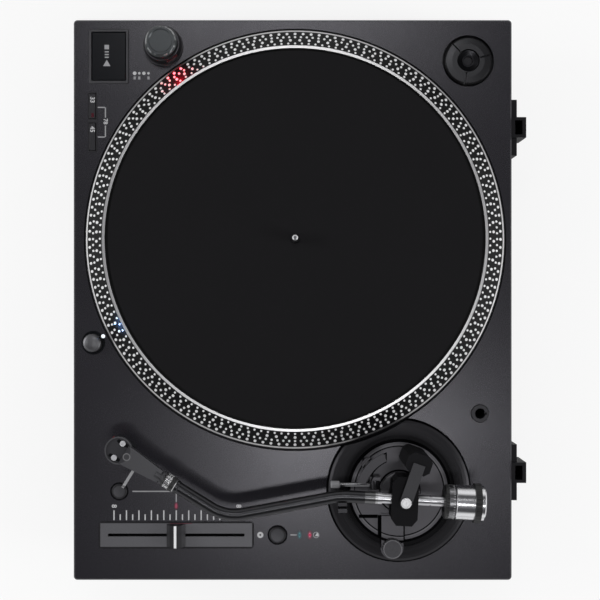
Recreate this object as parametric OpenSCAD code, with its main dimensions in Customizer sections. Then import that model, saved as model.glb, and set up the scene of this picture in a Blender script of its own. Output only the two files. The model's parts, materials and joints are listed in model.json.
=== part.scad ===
// Direct-drive turntable record player with an S-shaped tonearm.
// Millimetres. +Z is up, -Y is the side where the user stands, and +X is their right.
// The origin is on the surface that the feet stand on, below the middle of the whole outline.

/* [Casing] */
// Width of the deck to the left of the platter
left_margin = 9.7; // [9.5:0.1:18]
// Width of the deck to the right of the platter, with the tonearm
right_margin = 106.3; // [104:0.1:124]
// Depth of the deck in front of the platter
front_margin = 10.9; // [10.5:0.1:20]
// Depth of the deck behind the platter
back_margin = 7.1; // [7:0.1:16]
// Height of the lower tub above the surface it stands over
foot_h = 27; // [25:1:32]
// Height of the lower tub
tub_h = 27; // [25:1:34]
// Height of the upper body, with the deck
plate_h = 46; // [44:1:54]
// Thickness of the deck
deck_t = 9; // [8.5:0.1:11]
// Thickness of the upper body's side walls
wall = 4; // [3:0.5:5]
// Radius of the casing's upright corners
corner_r = 3; // [2:0.5:8]
// Width of the chamfer round the deck
edge_chamfer = 1.2; // [0.6:0.1:2]
// How far the tub stands back behind the upper body's walls
tub_inset = 1; // [0:0.5:1.5]
// Thickness of the tub's side walls
tub_wall = 6; // [5:0.5:8]
// Thickness of the tub's floor
tub_floor = 5; // [4:0.5:7]
// Width of the chamfer round the tub's bottom edge
tub_chamfer = 5; // [2:0.5:7]
// Distance of the casing screws from the outer walls
screw_inset = 11; // [10:0.5:12]
// Radius of the casing screws' shanks
screw_r = 2; // [1.6:0.1:2.4]

/* [Feet] */
// Distance of the feet from the outer walls
foot_inset = 48; // [42:1:60]
// Radius of each foot
foot_r = 28; // [22:1:30]
// Height of each foot's cup, with its rubber pad
foot_cup_h = 21.5; // [18:0.5:22]
// Radius of the threaded stud of a foot
stud_r = 4; // [3:0.5:5]

/* [Platter] */
// Radius of the platter
platter_r = 167; // [164:0.5:172]
// Height of the platter's rim
platter_h = 20; // [18:0.5:24]
// Height of the platter's lower edge above the deck
platter_lift = 1; // [0.6:0.1:3]
// Width of the bevel that carries the strobe dots
bevel_w = 13.2; // [11:0.2:15]
// Width of the bright ring on top of the rim
top_ring_w = 2.6; // [1.5:0.1:4]
// Radial gap round the platter in its well
well_gap = 2.6; // [2:0.1:4]
// Depth of the platter's well in the deck
well_depth = 3.5; // [2:0.5:4.5]
// Thickness of the slipmat
mat_t = 3; // [1.5:0.5:4]
// Radius of the record spindle
spindle_r = 3.6; // [3.5:0.05:3.65]
// Height of the record spindle above the slipmat
spindle_h = 14; // [10:1:20]

/* [Motor] */
// Inner radius of the motor's cup under the deck
motor_r = 80; // [76:1:84]
// Depth of the motor's cup below the deck's top
motor_depth = 26; // [24:1:28]
// Radius of the shaft in its bearing
shaft_r = 5; // [4:0.5:6]
// Number of stator coils
coil_count = 12; // [6:1:18]

/* [Fits] */
// Running clearance of shafts and pins, on the radius
fit = 0.05; // [0.03:0.01:0.1]
// Gap between a moving piece and its surroundings
gap = 0.4; // [0.3:0.05:0.6]

/* [Controls] */
// Start and stop frame, across the casing and from front to back
start_w = 44; // [40:0.5:46]
start_d = 32.4; // [28:0.2:34]
// Rim of the start and stop frame round its button
start_rim = 2.2; // [1.6:0.1:3]
// Distances of the start and stop frame's centre from the left side and the front
start_from_left = 29.3; // [27:0.1:34]
start_from_front = 28.3; // [24:0.1:32]
// Distances of the power dial's axis from the left side and the front
dial_from_left = 21.3; // [20:0.1:23]
dial_from_front = 72.1; // [70:0.1:76]
// Radius of the strobe tower's base
tower_r = 16; // [14:0.5:17]
// Height of the strobe tower
tower_h = 11.5; // [10:0.5:14]
// Radius of the power dial
dial_r = 12.7; // [10:0.1:13]
// Height of the power dial
dial_h = 9.5; // [7:0.5:12]
// Distances of the speed strip's centre from the left side and the front
speed_from_left = 82.1; // [80:0.1:86]
speed_from_front = 15.2; // [14:0.1:17]
// Length and width of the speed strip
speed_w = 48; // [44:0.5:52]
speed_d = 7.4; // [6.4:0.1:8]
// Length of the first speed button
speed_button_w = 20.8; // [18:0.2:24]
// Distance of the target light's axis to the right of the spindle
target_beside = 82.6; // [76:0.1:92]
// Distance of the target light's axis from the front
target_from_front = 15.9; // [13:0.1:17]
// Radius of the target light's head
target_r = 7.4; // [6:0.1:8]
// How far the target light stands up
target_up = 8; // [6:0.5:14]
// Distances of the fader's centre from the right side and the front
fader_from_right = 36.3; // [34:0.1:40]
fader_from_front = 82.5; // [80:0.1:86]
// Width and length of the fader's panel
fader_w = 21.7; // [20:0.1:24]
fader_l = 124.7; // [120:0.1:128]
// Length of the fader's slot
slot_l = 109.6; // [106:0.2:112]
// Distance of the quartz button from the fader's centre
quartz_from_fader = 81.3; // [78:0.1:86]
// Distances of the range button from the right side and the front
range_from_right = 71.3; // [68:0.1:75]
range_from_front = 36.8; // [34:0.1:40]
// Radii of the quartz button and the range button
quartz_button_r = 6.8; // [5.5:0.1:7.5]
range_button_r = 6.2; // [5.2:0.1:7]
// Travel of the buttons
press_travel = 1.5; // [1:0.1:2]

/* [Deck fittings] */
// Distances of the adapter recess from the left side and the back
adapter_from_left = 33; // [30:0.1:36]
adapter_from_back = 35.1; // [32:0.1:38]
// Radius of the 45 rpm adapter
adapter_r = 19; // [18.9:0.05:19.1]
// Thickness of the 45 rpm adapter
adapter_t = 8; // [7:0.5:10]
// Depth of the adapter's recess
recess_depth = 5.5; // [4:0.5:6]
// Distances of the spare headshell's holder from the right side and the back
holder_from_right = 133.9; // [130:0.1:138]
holder_from_back = 25.6; // [22:0.1:30]
// Bore radius and depth of the spare headshell's holder
holder_r = 4.2; // [4.1:0.05:4.5]
holder_h = 20; // [16:1:24]

/* [Rear] */
// Distance of each hinge socket from the casing's middle
hinge_x = 139; // [130:1:145]
// How far the hinge sockets stand out behind the casing
hinge_proud = 12; // [10:0.5:14]
// Width and thickness of a hinge socket's plate
hinge_plate_w = 45; // [40:1:50]
hinge_plate_t = 4.8; // [3:0.2:6]
// Width of a hinge socket's block
hinge_block_w = 16.5; // [15:0.5:20]
// Width and height of the rear connector bay
bay_w = 150; // [140:1:155]
bay_h = 26; // [24:0.5:28]
// Distance of the connector bay's middle to the right of the casing's middle
bay_x = 30; // [20:1:35]
// Depth of the connector bay
bay_depth = 16; // [14:0.5:20]

/* [Tonearm base] */
// Distance of the tonearm's pivot from the platter's rim
pivot_gap = 50.1; // [49:0.1:52]
// Direction of the tonearm's pivot from the spindle, from the right towards the back
pivot_angle = 22.5; // [21.5:0.1:23.5]
// Outer radius of the base ring
base_r = 58; // [54:0.5:58]
// Radius of the disc inside the base ring
disc_r = 41; // [38:0.5:42]
// Height of the base ring's top above the deck
base_h = 6.5; // [5:0.5:8]
// Radius of the bearing hub
hub_r = 15.6; // [14:0.2:17]
// Height of the bearing hub above the base ring
hub_h = 6.5; // [5:0.5:8]
// Radius of the lower bearing's journal
journal_r = 4; // [3.5:0.5:5]

/* [Tonearm] */
// Height of the tube's axis above the deck
axis_h = 46.5; // [45.5:0.1:48]
// Radius of the tube
tube_r = 4.7; // [4:0.1:5]
// Turn of the parked arm away from the casing's depth, in degrees
park_turn = 3; // [1:0.5:4]
// Straight length from the pivot to the first bend's corner
rear_straight = 49; // [46:0.5:52]
// Angle and radius of the first bend, outwards
bend_out = 13.5; // [10:0.5:15]
bend_out_r = 60; // [50:1:70]
// Length between the corners of the two bends
bend_gap = 88.6; // [85:0.1:92]
// Angle of the headshell to the straight rear part, inwards
head_turn = 28.8; // [26:0.1:31]
// Radius of the second bend
bend_in_r = 35; // [30:1:40]
// Length from the second bend's corner to the stylus tip
head_reach = 106; // [104:0.1:108]
// Distance of the stylus tip in front of the cartridge screws
stylus_ahead = 9.5; // [9:0.1:10]
// Radius and length of the headshell's locking collar
collar_r = 5.9; // [5.4:0.1:6.4]
collar_l = 10.4; // [9:0.2:12]
// Radius of the chrome stub behind the pivot
stub_r = 4; // [3.6:0.1:4.4]
// Half width of the gimbal yoke
yoke_w = 18.5; // [17.5:0.1:19]
// Half length of the gimbal yoke along the arm
yoke_l = 10; // [8:0.5:10.5]
// Radius of the yoke's side pivots
side_pin_r = 2; // [1.5:0.1:2.5]

/* [Counterweight] */
// Distance of the weight's dial ring behind the pivot
weight_back = 30.2; // [29:0.1:32]
// Radius of the weight's body
weight_r = 13.2; // [12:0.1:14]
// Radius of the knurled grip ring
weight_grip_r = 15; // [14:0.1:16]
// Length of the dial ring
weight_dial_l = 8; // [6:0.5:9]
// Length of the weight behind the dial ring
weight_l = 22.8; // [20:0.2:26]

/* [Cueing and rest] */
// Radius of the lift bar's middle line round the pivot
lift_bar_r = 34; // [33:0.5:35]
// Width of the lift bar
lift_bar_w = 6.5; // [5:0.5:7]
// How far the lift bar lies below the tube
lift_drop = 2.3; // [2:0.1:3]
// Distance of the cue lever's rod to the left of the pivot
lever_x = 6.6; // [6.2:0.1:7]
// Distance of the cue lever's shaft in front of the pivot
lever_y = 20; // [19.5:0.1:21]
// Length of the cue lever from its shaft to its tip
lever_l = 35; // [32:0.5:36]
// Distance of the arm rest in front of the pivot
rest_y = 47; // [46:0.1:48]
// Distances of the anti-skate dial from the pivot, to the right and to the front
skate_x = 44.9; // [43:0.1:46]
skate_y = 5.9; // [5:0.1:7]
// Radius of the anti-skate dial
skate_r = 7.9; // [7:0.1:8.5]

/* [Hidden] */
$fn = 72;
EPS = 1;                                    // overshoot of a cutting shape past the surface it opens

seam_z = foot_h + tub_h;                    // joint between the tub and the upper body
deck_z = seam_z + plate_h;                  // top of the deck
under_z = deck_z - deck_t;                  // underside of the deck
body_w = left_margin + 2 * platter_r + right_margin;
body_d = front_margin + 2 * platter_r + back_margin;
left_x = -body_w / 2;
right_x = body_w / 2;
mid_y = -hinge_proud / 2;
front_y = mid_y - body_d / 2;
back_y = mid_y + body_d / 2;

spindle = [left_x + left_margin + platter_r, front_y + front_margin + platter_r];
pivot = spindle + (platter_r + pivot_gap) * [cos(pivot_angle), sin(pivot_angle)];
start_at = [left_x + start_from_left, front_y + start_from_front];
dial_at = [left_x + dial_from_left, front_y + dial_from_front];
speed_at = [left_x + speed_from_left, front_y + speed_from_front];
target_at = [spindle[0] + target_beside, front_y + target_from_front];
fader_at = [right_x - fader_from_right, front_y + fader_from_front];
quartz_at = fader_at + [0, quartz_from_fader];
range_at = [right_x - range_from_right, front_y + range_from_front];
adapter_at = [left_x + adapter_from_left, back_y - adapter_from_back];
holder_at = [right_x - holder_from_right, back_y - holder_from_back];
foot_points = [for (x = [-1, 1], y = [-1, 1])
    [x * (body_w / 2 - foot_inset), mid_y + y * (body_d / 2 - foot_inset)]];
screw_points = concat(
    [for (x = [-1, 1], y = [-1, 0, 1]) [x * (body_w / 2 - screw_inset), mid_y + y * (body_d / 2 - screw_inset)]],
    [[target_at[0] - 34, front_y + screw_inset], [bay_x - bay_w / 2 - 18, back_y - screw_inset]]);
boss_r = 2.5 * screw_r;
screw_head_r = 2 * screw_r;
screw_head_h = 1.2 * screw_r;

rim_z = deck_z + platter_lift;              // lower edge of the platter
ring_z = rim_z + platter_h;                 // top of the bright ring
mat_bed_z = ring_z - 2;                     // bed of the slipmat
mat_z = mat_bed_z + mat_t;                  // top of the slipmat
well_r = platter_r + well_gap;
bevel_out_r = platter_r - 1.6;              // outer edge of the dotted bevel
bevel_in_r = bevel_out_r - bevel_w;
mat_bed_r = bevel_in_r - 0.5 - top_ring_w;
mat_r = mat_bed_r - 2;
cup_z = deck_z - motor_depth;               // floor of the motor's cup
cup_t = 3;
hub_z = mat_bed_z - 11;                     // underside of the platter's hub
magnet_out_r = motor_r - 8;
magnet_in_r = magnet_out_r - 10;
magnet_z = cup_z + 8;
drum_z = rim_z + 2.5;                       // underside of the ring that carries the magnet
bearing_r = shaft_r + 6;
bearing_flange_r = bearing_r + 6;

bezel_depth = 8;                            // depth of the button frames in the deck
stem_r = 2.2;                               // stems under the buttons
switch_z = under_z - 7;                     // top of the control board
cap_h = 5;                                  // height of a button's cap
speed_gap = 2.8;                            // web between the two speed buttons
speed_second_w = speed_w - 2 * 0.9 - speed_button_w - speed_gap;
slot_w = 2.4;
panel_sink = 1.2;
panel_t = 1.6;

axis_z = deck_z + axis_h;                   // axis of the tube
disc_z = deck_z + base_h;                   // top of the arm's base
hub_top_z = disc_z + hub_h;
neck_r = disc_r + 5.8;                      // part of the arm's base that passes through the deck
base_floor_z = deck_z - 14;
yoke_top_z = axis_z + 10.8;
bridge_z = yoke_top_z + 1.2;                // underside of the bridge over the yoke
bridge_t = 5;
bridge_turn = 19.5;                         // turn of the bridge from the left towards the back
pillar_reach = 30.5;                        // distance of the pillar's middle from the pivot
head_bottom_z = axis_z - 3;                 // face that the cartridge is screwed to
tip_z = mat_z + 2;                          // stylus tip, on a record's surface
bend_in = bend_out + head_turn;
corner_1 = [0, -rear_straight];
corner_2 = corner_1 + bend_gap * [sin(bend_out), -cos(bend_out)];
collar_front = head_reach - stylus_ahead - 40.5;    // front face of the locking collar
collar_back = collar_front - collar_l;
screw_y = head_reach - stylus_ahead;        // cartridge screws, in front of the second corner
screw_pitch = 12.7;
weight_z = axis_z;
dial_front = weight_back;
weight_front = weight_back + weight_dial_l + 0.4;
weight_end = weight_front + weight_l;
insert_r = 8;
clip_r = 1.6;
bend_step = 0.03;                           // the bends are drawn a touch thinner than the straight tube
bend_lap = 0.3;

// ---------------------------------------------------------------- shared shapes

module at(p, z = 0) translate([p[0], p[1], z]) children();

// The tonearm's own frame: its pivot, with the straight rear part along Y
module at_arm(z = 0) at(pivot, z) rotate([0, 0, -park_turn]) children();

// The headshell's own frame: the second bend's corner, with the headshell along -Y
module at_head(z = 0) at_arm(z) at(corner_2) rotate([0, 0, -head_turn]) children();

module rounded_rect(w, d, r) {
    square([w - 2 * r, d], center = true);
    square([w, d - 2 * r], center = true);
    for (x = [-1, 1], y = [-1, 1]) translate([x * (w / 2 - r), y * (d / 2 - r)]) circle(r = r);
}

module rounded_block(w, d, h, r) linear_extrude(h) rounded_rect(w, d, r);

// A block whose top edge is chamfered all round
module chamfered_block(w, d, h, r, c) {
    rounded_block(w, d, h - c, r);
    translate([0, 0, h - c]) {
        for (x = [-1, 1], y = [-1, 1])
            translate([x * (w / 2 - r), y * (d / 2 - r), 0]) cylinder(h = c, r1 = r, r2 = r - c);
        rotate([90, 0, 90]) linear_extrude(w - 2 * r, center = true)
            polygon([[-d / 2, 0], [d / 2, 0], [d / 2 - c, c], [-d / 2 + c, c]]);
        rotate([90, 0, 0]) linear_extrude(d - 2 * r, center = true)
            polygon([[-w / 2, 0], [w / 2, 0], [w / 2 - c, c], [-w / 2 + c, c]]);
    }
}

module ring(r_out, r_in, h) rotate_extrude() translate([r_in, 0]) square([r_out - r_in, h]);

module box(w, d, h) translate([-w / 2, -d / 2, 0]) cube([w, d, h]);

// A cylinder that lies along Y, from y0 to y1
module rod_y(r, y0, y1) translate([0, y0, 0]) rotate([-90, 0, 0]) cylinder(r = r, h = y1 - y0);

// A turned part that lies along Y: points are [radius, distance along Y]
module turned_y(points) rotate([-90, 0, 0]) rotate_extrude() polygon(points);

// ---------------------------------------------------------------- casing

module top_plate() color("#3b3b3e") difference() {
    union() {
        translate([0, mid_y, seam_z]) difference() {
            chamfered_block(body_w, body_d, plate_h, corner_r, edge_chamfer);
            translate([0, 0, -EPS]) rounded_block(body_w - 2 * wall, body_d - 2 * wall,
                plate_h - deck_t + EPS, max(corner_r - wall, 0.5));
        }
        at(spindle, cup_z - cup_t) cylinder(r = motor_r + cup_t, h = under_z - cup_z + cup_t + EPS);
        for (p = screw_points) at(p, seam_z) cylinder(r = boss_r, h = plate_h - deck_t + EPS);
    }
    at(spindle, deck_z - well_depth) cylinder(r = well_r, h = well_depth + EPS);
    at(spindle, cup_z) cylinder(r = motor_r, h = motor_depth + EPS);
    at(spindle, cup_z - cup_t - EPS) cylinder(r = bearing_r + fit, h = cup_t + 2 * EPS);
    for (p = screw_points) at(p, seam_z - EPS) cylinder(r = screw_r + fit, h = 15 + EPS);
    // start and stop frame, with a hole for the button's stem
    at(start_at, deck_z - bezel_depth) rounded_block(start_w, start_d, bezel_depth + EPS, 1.2);
    at(start_at, under_z - EPS) cylinder(r = stem_r + gap + 1, h = deck_t);
    // speed strip, with holes for the stems
    at(speed_at, deck_z - bezel_depth) rounded_block(speed_w, speed_d, bezel_depth + EPS, 1);
    for (x = speed_button_xs()) at(speed_at + [x, 0], under_z - EPS) cylinder(r = stem_r + gap + 0.4, h = deck_t);
    // power dial's shaft
    at(dial_at, under_z - EPS) cylinder(r = 6, h = deck_t + 2 * EPS);
    // target light's collar
    at(target_at, under_z - EPS) cylinder(r = target_r + 1 + gap, h = deck_t + 2 * EPS);
    // fader: bed of its panel and the slot for its stem
    at(fader_at, deck_z - panel_sink) rounded_block(fader_w, fader_l, panel_sink + EPS, 3);
    at(fader_at, under_z - EPS) box(6, slot_l + 4, deck_t + EPS);
    // round buttons and indicator lamps
    at(quartz_at) button_hole(quartz_button_r + gap);
    at(range_at) button_hole(range_button_r + gap);
    for (y = lamp_ys()) at(quartz_at + [0, y], under_z - EPS) cylinder(r = 1.6, h = deck_t + 2 * EPS);
    at(target_at + pilot_shift(), deck_z - 3) cylinder(r = pilot_r() + 0.1, h = 3 + EPS);
    // 45 rpm adapter's recess, round a centring peg
    at(adapter_at, deck_z - recess_depth) ring(adapter_r + 1.7, spindle_r - gap + 0.1, recess_depth + EPS);
    at(adapter_at, deck_z - 1) cylinder(r = adapter_r, h = 1 + EPS);
    at(holder_at, under_z - EPS) cylinder(r = holder_r + 2.6, h = deck_t + 2 * EPS);
    at(pivot, under_z - EPS) cylinder(r = neck_r + 0.1, h = deck_t + 2 * EPS);
    // connector bay and hinge socket screws in the back wall
    translate([bay_x, back_y - wall / 2, bay_mid_z()]) cube([bay_w, wall + 2 * EPS, bay_h], center = true);
    for (side = [-1, 1]) hinge_screw_places(side) rotate([90, 0, 0]) translate([0, 0, -EPS])
        cylinder(r = 1.5, h = wall + 2 * EPS);
}

module button_hole(r) {
    translate([0, 0, under_z - EPS]) cylinder(r = r, h = deck_t + 2 * EPS);
    translate([0, 0, deck_z - 0.8]) cylinder(r1 = r, r2 = r + 1.8, h = 1.8);
}

function speed_button_xs() = [
    -speed_w / 2 + 0.9 + speed_button_w / 2,
    speed_w / 2 - 0.9 - speed_second_w / 2];
function lamp_ys() = [17.7, 26];
function pilot_r() = 1.5;
function pilot_shift() = (target_r + 2.06) * [-0.55, 0.835];
function bay_mid_z() = seam_z + (plate_h - deck_t) / 2 + 1;

module base_tub() color("#2c2c2e") difference() {
    w = body_w - 2 * tub_inset;
    d = body_d - 2 * tub_inset;
    union() {
        translate([0, mid_y, 0]) difference() {
            translate([0, 0, seam_z]) mirror([0, 0, 1]) chamfered_block(w, d, tub_h, corner_r + tub_chamfer, tub_chamfer);
            translate([0, 0, foot_h + tub_floor]) rounded_block(w - 2 * tub_wall, d - 2 * tub_wall, tub_h,
                corner_r + tub_chamfer - tub_wall + 2);
        }
        for (p = foot_points) at(p, foot_h + EPS) cylinder(r = 3 * stud_r, h = tub_h - EPS - 2);
        for (p = screw_points) at(p, foot_h + EPS) cylinder(r = boss_r + 1, h = tub_h - EPS);
        // stiffening ribs across the floor
        for (k = [-2 : 2]) translate([k * body_w / 6, mid_y, foot_h + EPS]) box(3, body_d - 3 * tub_wall, tub_floor + 7);
        for (k = [-1 : 1]) translate([0, mid_y + k * body_d / 4, foot_h + EPS]) box(body_w - 3 * tub_wall, 3, tub_floor + 7);
    }
    for (p = foot_points) at(p, foot_h - EPS) cylinder(r = stud_r + fit, h = tub_h + 2 * EPS);
    for (p = screw_points) at(p, foot_h - EPS) {
        cylinder(r = screw_r + 0.3, h = tub_h + 2 * EPS);
        cylinder(r = screw_head_r + 0.5, h = screw_head_h + 6 + EPS);
    }
}

module casing_screws() color("silver") for (p = screw_points) at(p, foot_h + 6) difference() {
    union() {
        cylinder(r = screw_head_r, h = screw_head_h);
        cylinder(r = screw_r, h = tub_h - 6 + 13);
    }
    translate([0, 0, -EPS]) box(0.8, 2 * screw_head_r - 2, 1 + EPS);
    translate([0, 0, -EPS]) box(2 * screw_head_r - 2, 0.8, 1 + EPS);
}

// One foot: rubber pad, ribbed cup and threaded stud
module foot(p) color("#1d1d1f") at(p) {
    difference() {
        rotate_extrude() polygon([[0, 0], [foot_r - 5, 0], [foot_r - 3, 1.5], [foot_r - 3, 4], [foot_r - 1, 5],
            [foot_r, 7], [foot_r, foot_cup_h - 2], [foot_r - 2, foot_cup_h], [0, foot_cup_h]]);
        for (a = [0 : 15 : 345]) rotate([0, 0, a]) translate([foot_r + 0.6, 0, 6]) cylinder(r = 1.2, h = foot_cup_h);
    }
    translate([0, 0, foot_cup_h - EPS]) cylinder(r = stud_r, h = foot_h + tub_h - 8 - foot_cup_h + EPS);
}
module foot_front_left() foot(foot_points[0]);
module foot_back_left() foot(foot_points[1]);
module foot_front_right() foot(foot_points[2]);
module foot_back_right() foot(foot_points[3]);

// ---------------------------------------------------------------- drive

module motor_bearing() color("#b08d57") at(spindle, 0) difference() {
    union() {
        translate([0, 0, cup_z - 22]) cylinder(r = bearing_r, h = 44);
        translate([0, 0, cup_z]) cylinder(r = bearing_flange_r, h = 3);
    }
    translate([0, 0, cup_z - 18]) cylinder(r = shaft_r + fit, h = 60);
}

module motor_stator() color("#1f5a3a") at(spindle, cup_z) {
    ring(motor_r - 6, bearing_flange_r + 1, 1.6);
    translate([0, 0, 1.6]) for (k = [0 : coil_count - 1]) rotate([0, 0, k * 360 / coil_count])
        difference() {
            rotate_extrude(angle = 320 / coil_count) translate([30, 0]) square([magnet_in_r - 37, 8]);
            translate([0, 0, -EPS]) rotate([0, 0, 106 / coil_count]) rotate_extrude(angle = 108 / coil_count)
                translate([38, 0]) square([magnet_in_r - 53, 8 + 2 * EPS]);
        }
}

module spindle_shaft() color("silver") at(spindle) rotate_extrude() polygon([
    [0, cup_z - 18 + 0.3], [shaft_r, cup_z - 18 + 0.3], [shaft_r, hub_z - 3], [12, hub_z - 3], [12, hub_z],
    [spindle_r - 0.3, hub_z], [spindle_r - 0.3, mat_z + 0.2], [spindle_r, mat_z + 0.2],
    [spindle_r, mat_z + spindle_h - 5], [spindle_r - 1.4, mat_z + spindle_h - 1],
    [spindle_r - 2.4, mat_z + spindle_h], [0, mat_z + spindle_h]]);

module platter() color("#2b2b2d") at(spindle) difference() {
    union() {
        rotate_extrude() polygon([
            [spindle_r - 0.28, hub_z], [18, hub_z], [22, mat_bed_z - 7],
            [magnet_in_r - 6, mat_bed_z - 7], [magnet_in_r - 6, drum_z], [magnet_out_r + 5, drum_z],
            [magnet_out_r + 5, mat_bed_z - 7], [platter_r - 27, mat_bed_z - 7], [platter_r - 20, rim_z + 3],
            [platter_r - 18, rim_z], [platter_r, rim_z], [platter_r, rim_z + 4], [bevel_out_r, rim_z + 5.4],
            [bevel_in_r, ring_z - 1.2], [bevel_in_r - 0.5, ring_z], [mat_bed_r, ring_z],
            [mat_bed_r, mat_bed_z], [spindle_r - 0.28, mat_bed_z]]);
        // radial ribs under the web
        for (a = [0 : 30 : 330]) rotate([0, 0, a]) translate([magnet_out_r + 4, -1.5, mat_bed_z - 12])
            cube([platter_r - 19 - magnet_out_r - 4, 3, 6]);
    }
}

module slipmat() color("#161618") at(spindle, mat_bed_z) ring(mat_r, spindle_r + 0.3, mat_t);

module rotor_magnet() color("#4a4a4d") at(spindle, magnet_z) ring(magnet_out_r, magnet_in_r, drum_z - magnet_z);

// ---------------------------------------------------------------- boards and rear connectors

module circuit_boards() color("#1e4d2b") {
    // main board on the tub's floor
    translate([95, mid_y - 95, foot_h + tub_floor + 8]) {
        box(110, 60, 1.6);
        translate([-30, 5, 1.6]) box(30, 20, 12);
        for (x = [0 : 14 : 28]) translate([x + 5, 8, 1.6]) cylinder(r = 5, h = 15);
        for (x = [-1, 1], y = [-1, 1]) translate([x * 50, y * 25, -1]) cylinder(r = 3, h = 1);
    }
    // control board under the start button and the speed strip, hung from the deck
    at(start_at + [30.7, -2], switch_z - 1.6) {
        box(86, 24, 1.6);
        for (x = [-1, 1]) translate([x * 39, 4, 1.6]) cylinder(r = 3, h = under_z - switch_z);
    }
    // phono board behind the connector bay
    translate([bay_x, back_y - bay_depth - 2.2 - 20, bay_mid_z() - 9]) box(120, 40, 1.6);
}

module bay_frame() translate([bay_x, back_y, bay_mid_z()]) children();

module jack_panel() color("#262628") bay_frame() difference() {
    translate([-(bay_w - 0.3) / 2, -bay_depth - 2, -(bay_h - 0.3) / 2]) cube([bay_w - 0.3, bay_depth + 2, bay_h - 0.3]);
    translate([-(bay_w - 3.3) / 2, -bay_depth, -(bay_h - 3.3) / 2]) cube([bay_w - 3.3, bay_depth + EPS, bay_h - 3.3]);
    for (x = rca_xs()) translate([x, -bay_depth, 0]) rod_y(4, -2 - EPS, EPS);
    translate([ground_x(), -bay_depth, 0]) rod_y(2, -2 - EPS, EPS);
    translate([switch_x(), -bay_depth - 1, 0]) cube([10, 2 + 2 * EPS, 4.6], center = true);
    translate([usb_x(), -bay_depth - 1, 0]) cube([12.2, 2 + 2 * EPS, 11.2], center = true);
    translate([dc_x(), -bay_depth, 0]) rod_y(5.6, -2 - EPS, EPS);
}

function rca_xs() = [-52, -34];
function ground_x() = -14;
function switch_x() = 6;
function usb_x() = 30;
function dc_x() = 56;

module rear_terminals() color("#c9a227") bay_frame() translate([0, -bay_depth, 0]) {
    // two phono sockets with insulated centres
    for (x = rca_xs()) translate([x, 0, 0]) difference() {
        union() {
            rod_y(6, 0, 1.6);
            rod_y(4.15, 0, 9);
            rod_y(3.9, -6, 0);
        }
        rod_y(1.6, 1, 10);
    }
    // ground stud
    translate([ground_x(), 0, 0]) {
        rod_y(1.9, -6, 13);
        rod_y(4.5, 0, 1.5);
    }
}

module rear_sockets() color("#111113") bay_frame() translate([0, -bay_depth, 0]) {
    // square data socket
    translate([usb_x(), 0, 0]) difference() {
        translate([-6, -14, -5.5]) cube([12, 15.4, 11]);
        translate([-4.7, -9, -4.2]) cube([9.4, 12, 8.4]);
    }
    translate([usb_x() - 2.6, -10, -1.4]) cube([5.2, 9, 2.8]);
    // round power inlet
    translate([dc_x(), 0, 0]) {
        difference() {
            union() {
                rod_y(5.5, -12, 0);
                rod_y(7, 0, 1.5);
            }
            rod_y(2.8, -10, 3);
        }
        rod_y(1, -10.5, 0);
    }
}

module preamp_switch() color("#e8e8e8") bay_frame() translate([switch_x() - 2, -bay_depth, 0]) {
    translate([-2, -3, -1.9]) cube([4, 5.2, 3.8]);
    translate([-4.6, -4, -2.6]) cube([9.2, 1.6, 5.2]);
}

module ground_nut() color("#c9a227") bay_frame() translate([ground_x(), -bay_depth + 5, 0]) difference() {
    turned_y([[1.9 + fit, 0], [4.2, 0], [5, 0.8], [5, 4.6], [4.2, 5.4], [1.9 + fit, 5.4]]);
    for (a = [0 : 20 : 340]) rotate([0, a, 0]) translate([5.2, 0, 0]) rod_y(0.45, -EPS, 6);
}

module hinge_screw_places(side) for (x = [-1, 1])
    translate([side * hinge_x + x * (hinge_plate_w / 2 - 6), back_y, deck_z - 24]) children();

module hinge_sockets() color("#17171a") for (side = [-1, 1]) {
    difference() {
        union() {
            translate([side * hinge_x, back_y, deck_z - 40]) translate([-hinge_plate_w / 2, 0, 0])
                cube([hinge_plate_w, hinge_plate_t, 36]);
            translate([side * hinge_x - hinge_block_w / 2, back_y, deck_z - 36]) cube([hinge_block_w, hinge_proud, 34]);
        }
        // the lid's tongue goes in here from above
        translate([side * hinge_x - (hinge_block_w - 5) / 2, back_y + 3, deck_z - 30])
            cube([hinge_block_w - 5, hinge_proud - 6, 30]);
        hinge_screw_places(side) rod_y(1.7, -EPS, hinge_plate_t + EPS);
        hinge_screw_places(side) rod_y(3.2, hinge_plate_t - 1.8, hinge_plate_t + EPS);
    }
    hinge_screw_places(side) {
        rod_y(1.45, -wall - 2, hinge_plate_t - 1.8);
        rod_y(2.9, hinge_plate_t - 1.8, hinge_plate_t - 0.2);
    }
}

// ---------------------------------------------------------------- controls

module start_stop_bezel() color("#18181a") at(start_at, deck_z - bezel_depth) difference() {
    chamfered_block(start_w - 0.2, start_d - 0.2, bezel_depth + 0.6, 1.1, 0.6);
    translate([0, 0, 1.2]) rounded_block(start_w - 2 * start_rim, start_d - 2 * start_rim, bezel_depth, 0.8);
    translate([0, 0, -EPS]) cylinder(r = stem_r + gap, h = 4);
}

module start_stop_button() color("#101012") at(start_at, 0) {
    translate([0, 0, deck_z - cap_h + 0.2]) chamfered_block(start_w - 2 * start_rim - 2 * gap,
        start_d - 2 * start_rim - 2 * gap, cap_h, 0.6, 0.5);
    translate([0, 0, switch_z + press_travel + 0.3]) cylinder(r = stem_r, h = deck_z - cap_h - switch_z - press_travel);
}

module speed_bezel() color("#18181a") at(speed_at, deck_z - bezel_depth) difference() {
    rounded_block(speed_w - 0.2, speed_d - 0.2, bezel_depth + 0.3, 0.9);
    speed_openings(speed_d - 1.6, 1.2, bezel_depth);
    for (x = speed_button_xs()) translate([x, 0, -EPS]) cylinder(r = stem_r + gap, h = 4);
}

module speed_openings(d, z, h) {
    widths = [speed_button_w, speed_second_w];
    for (k = [0, 1]) translate([speed_button_xs()[k], 0, z]) box(widths[k], d, h);
}

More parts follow.
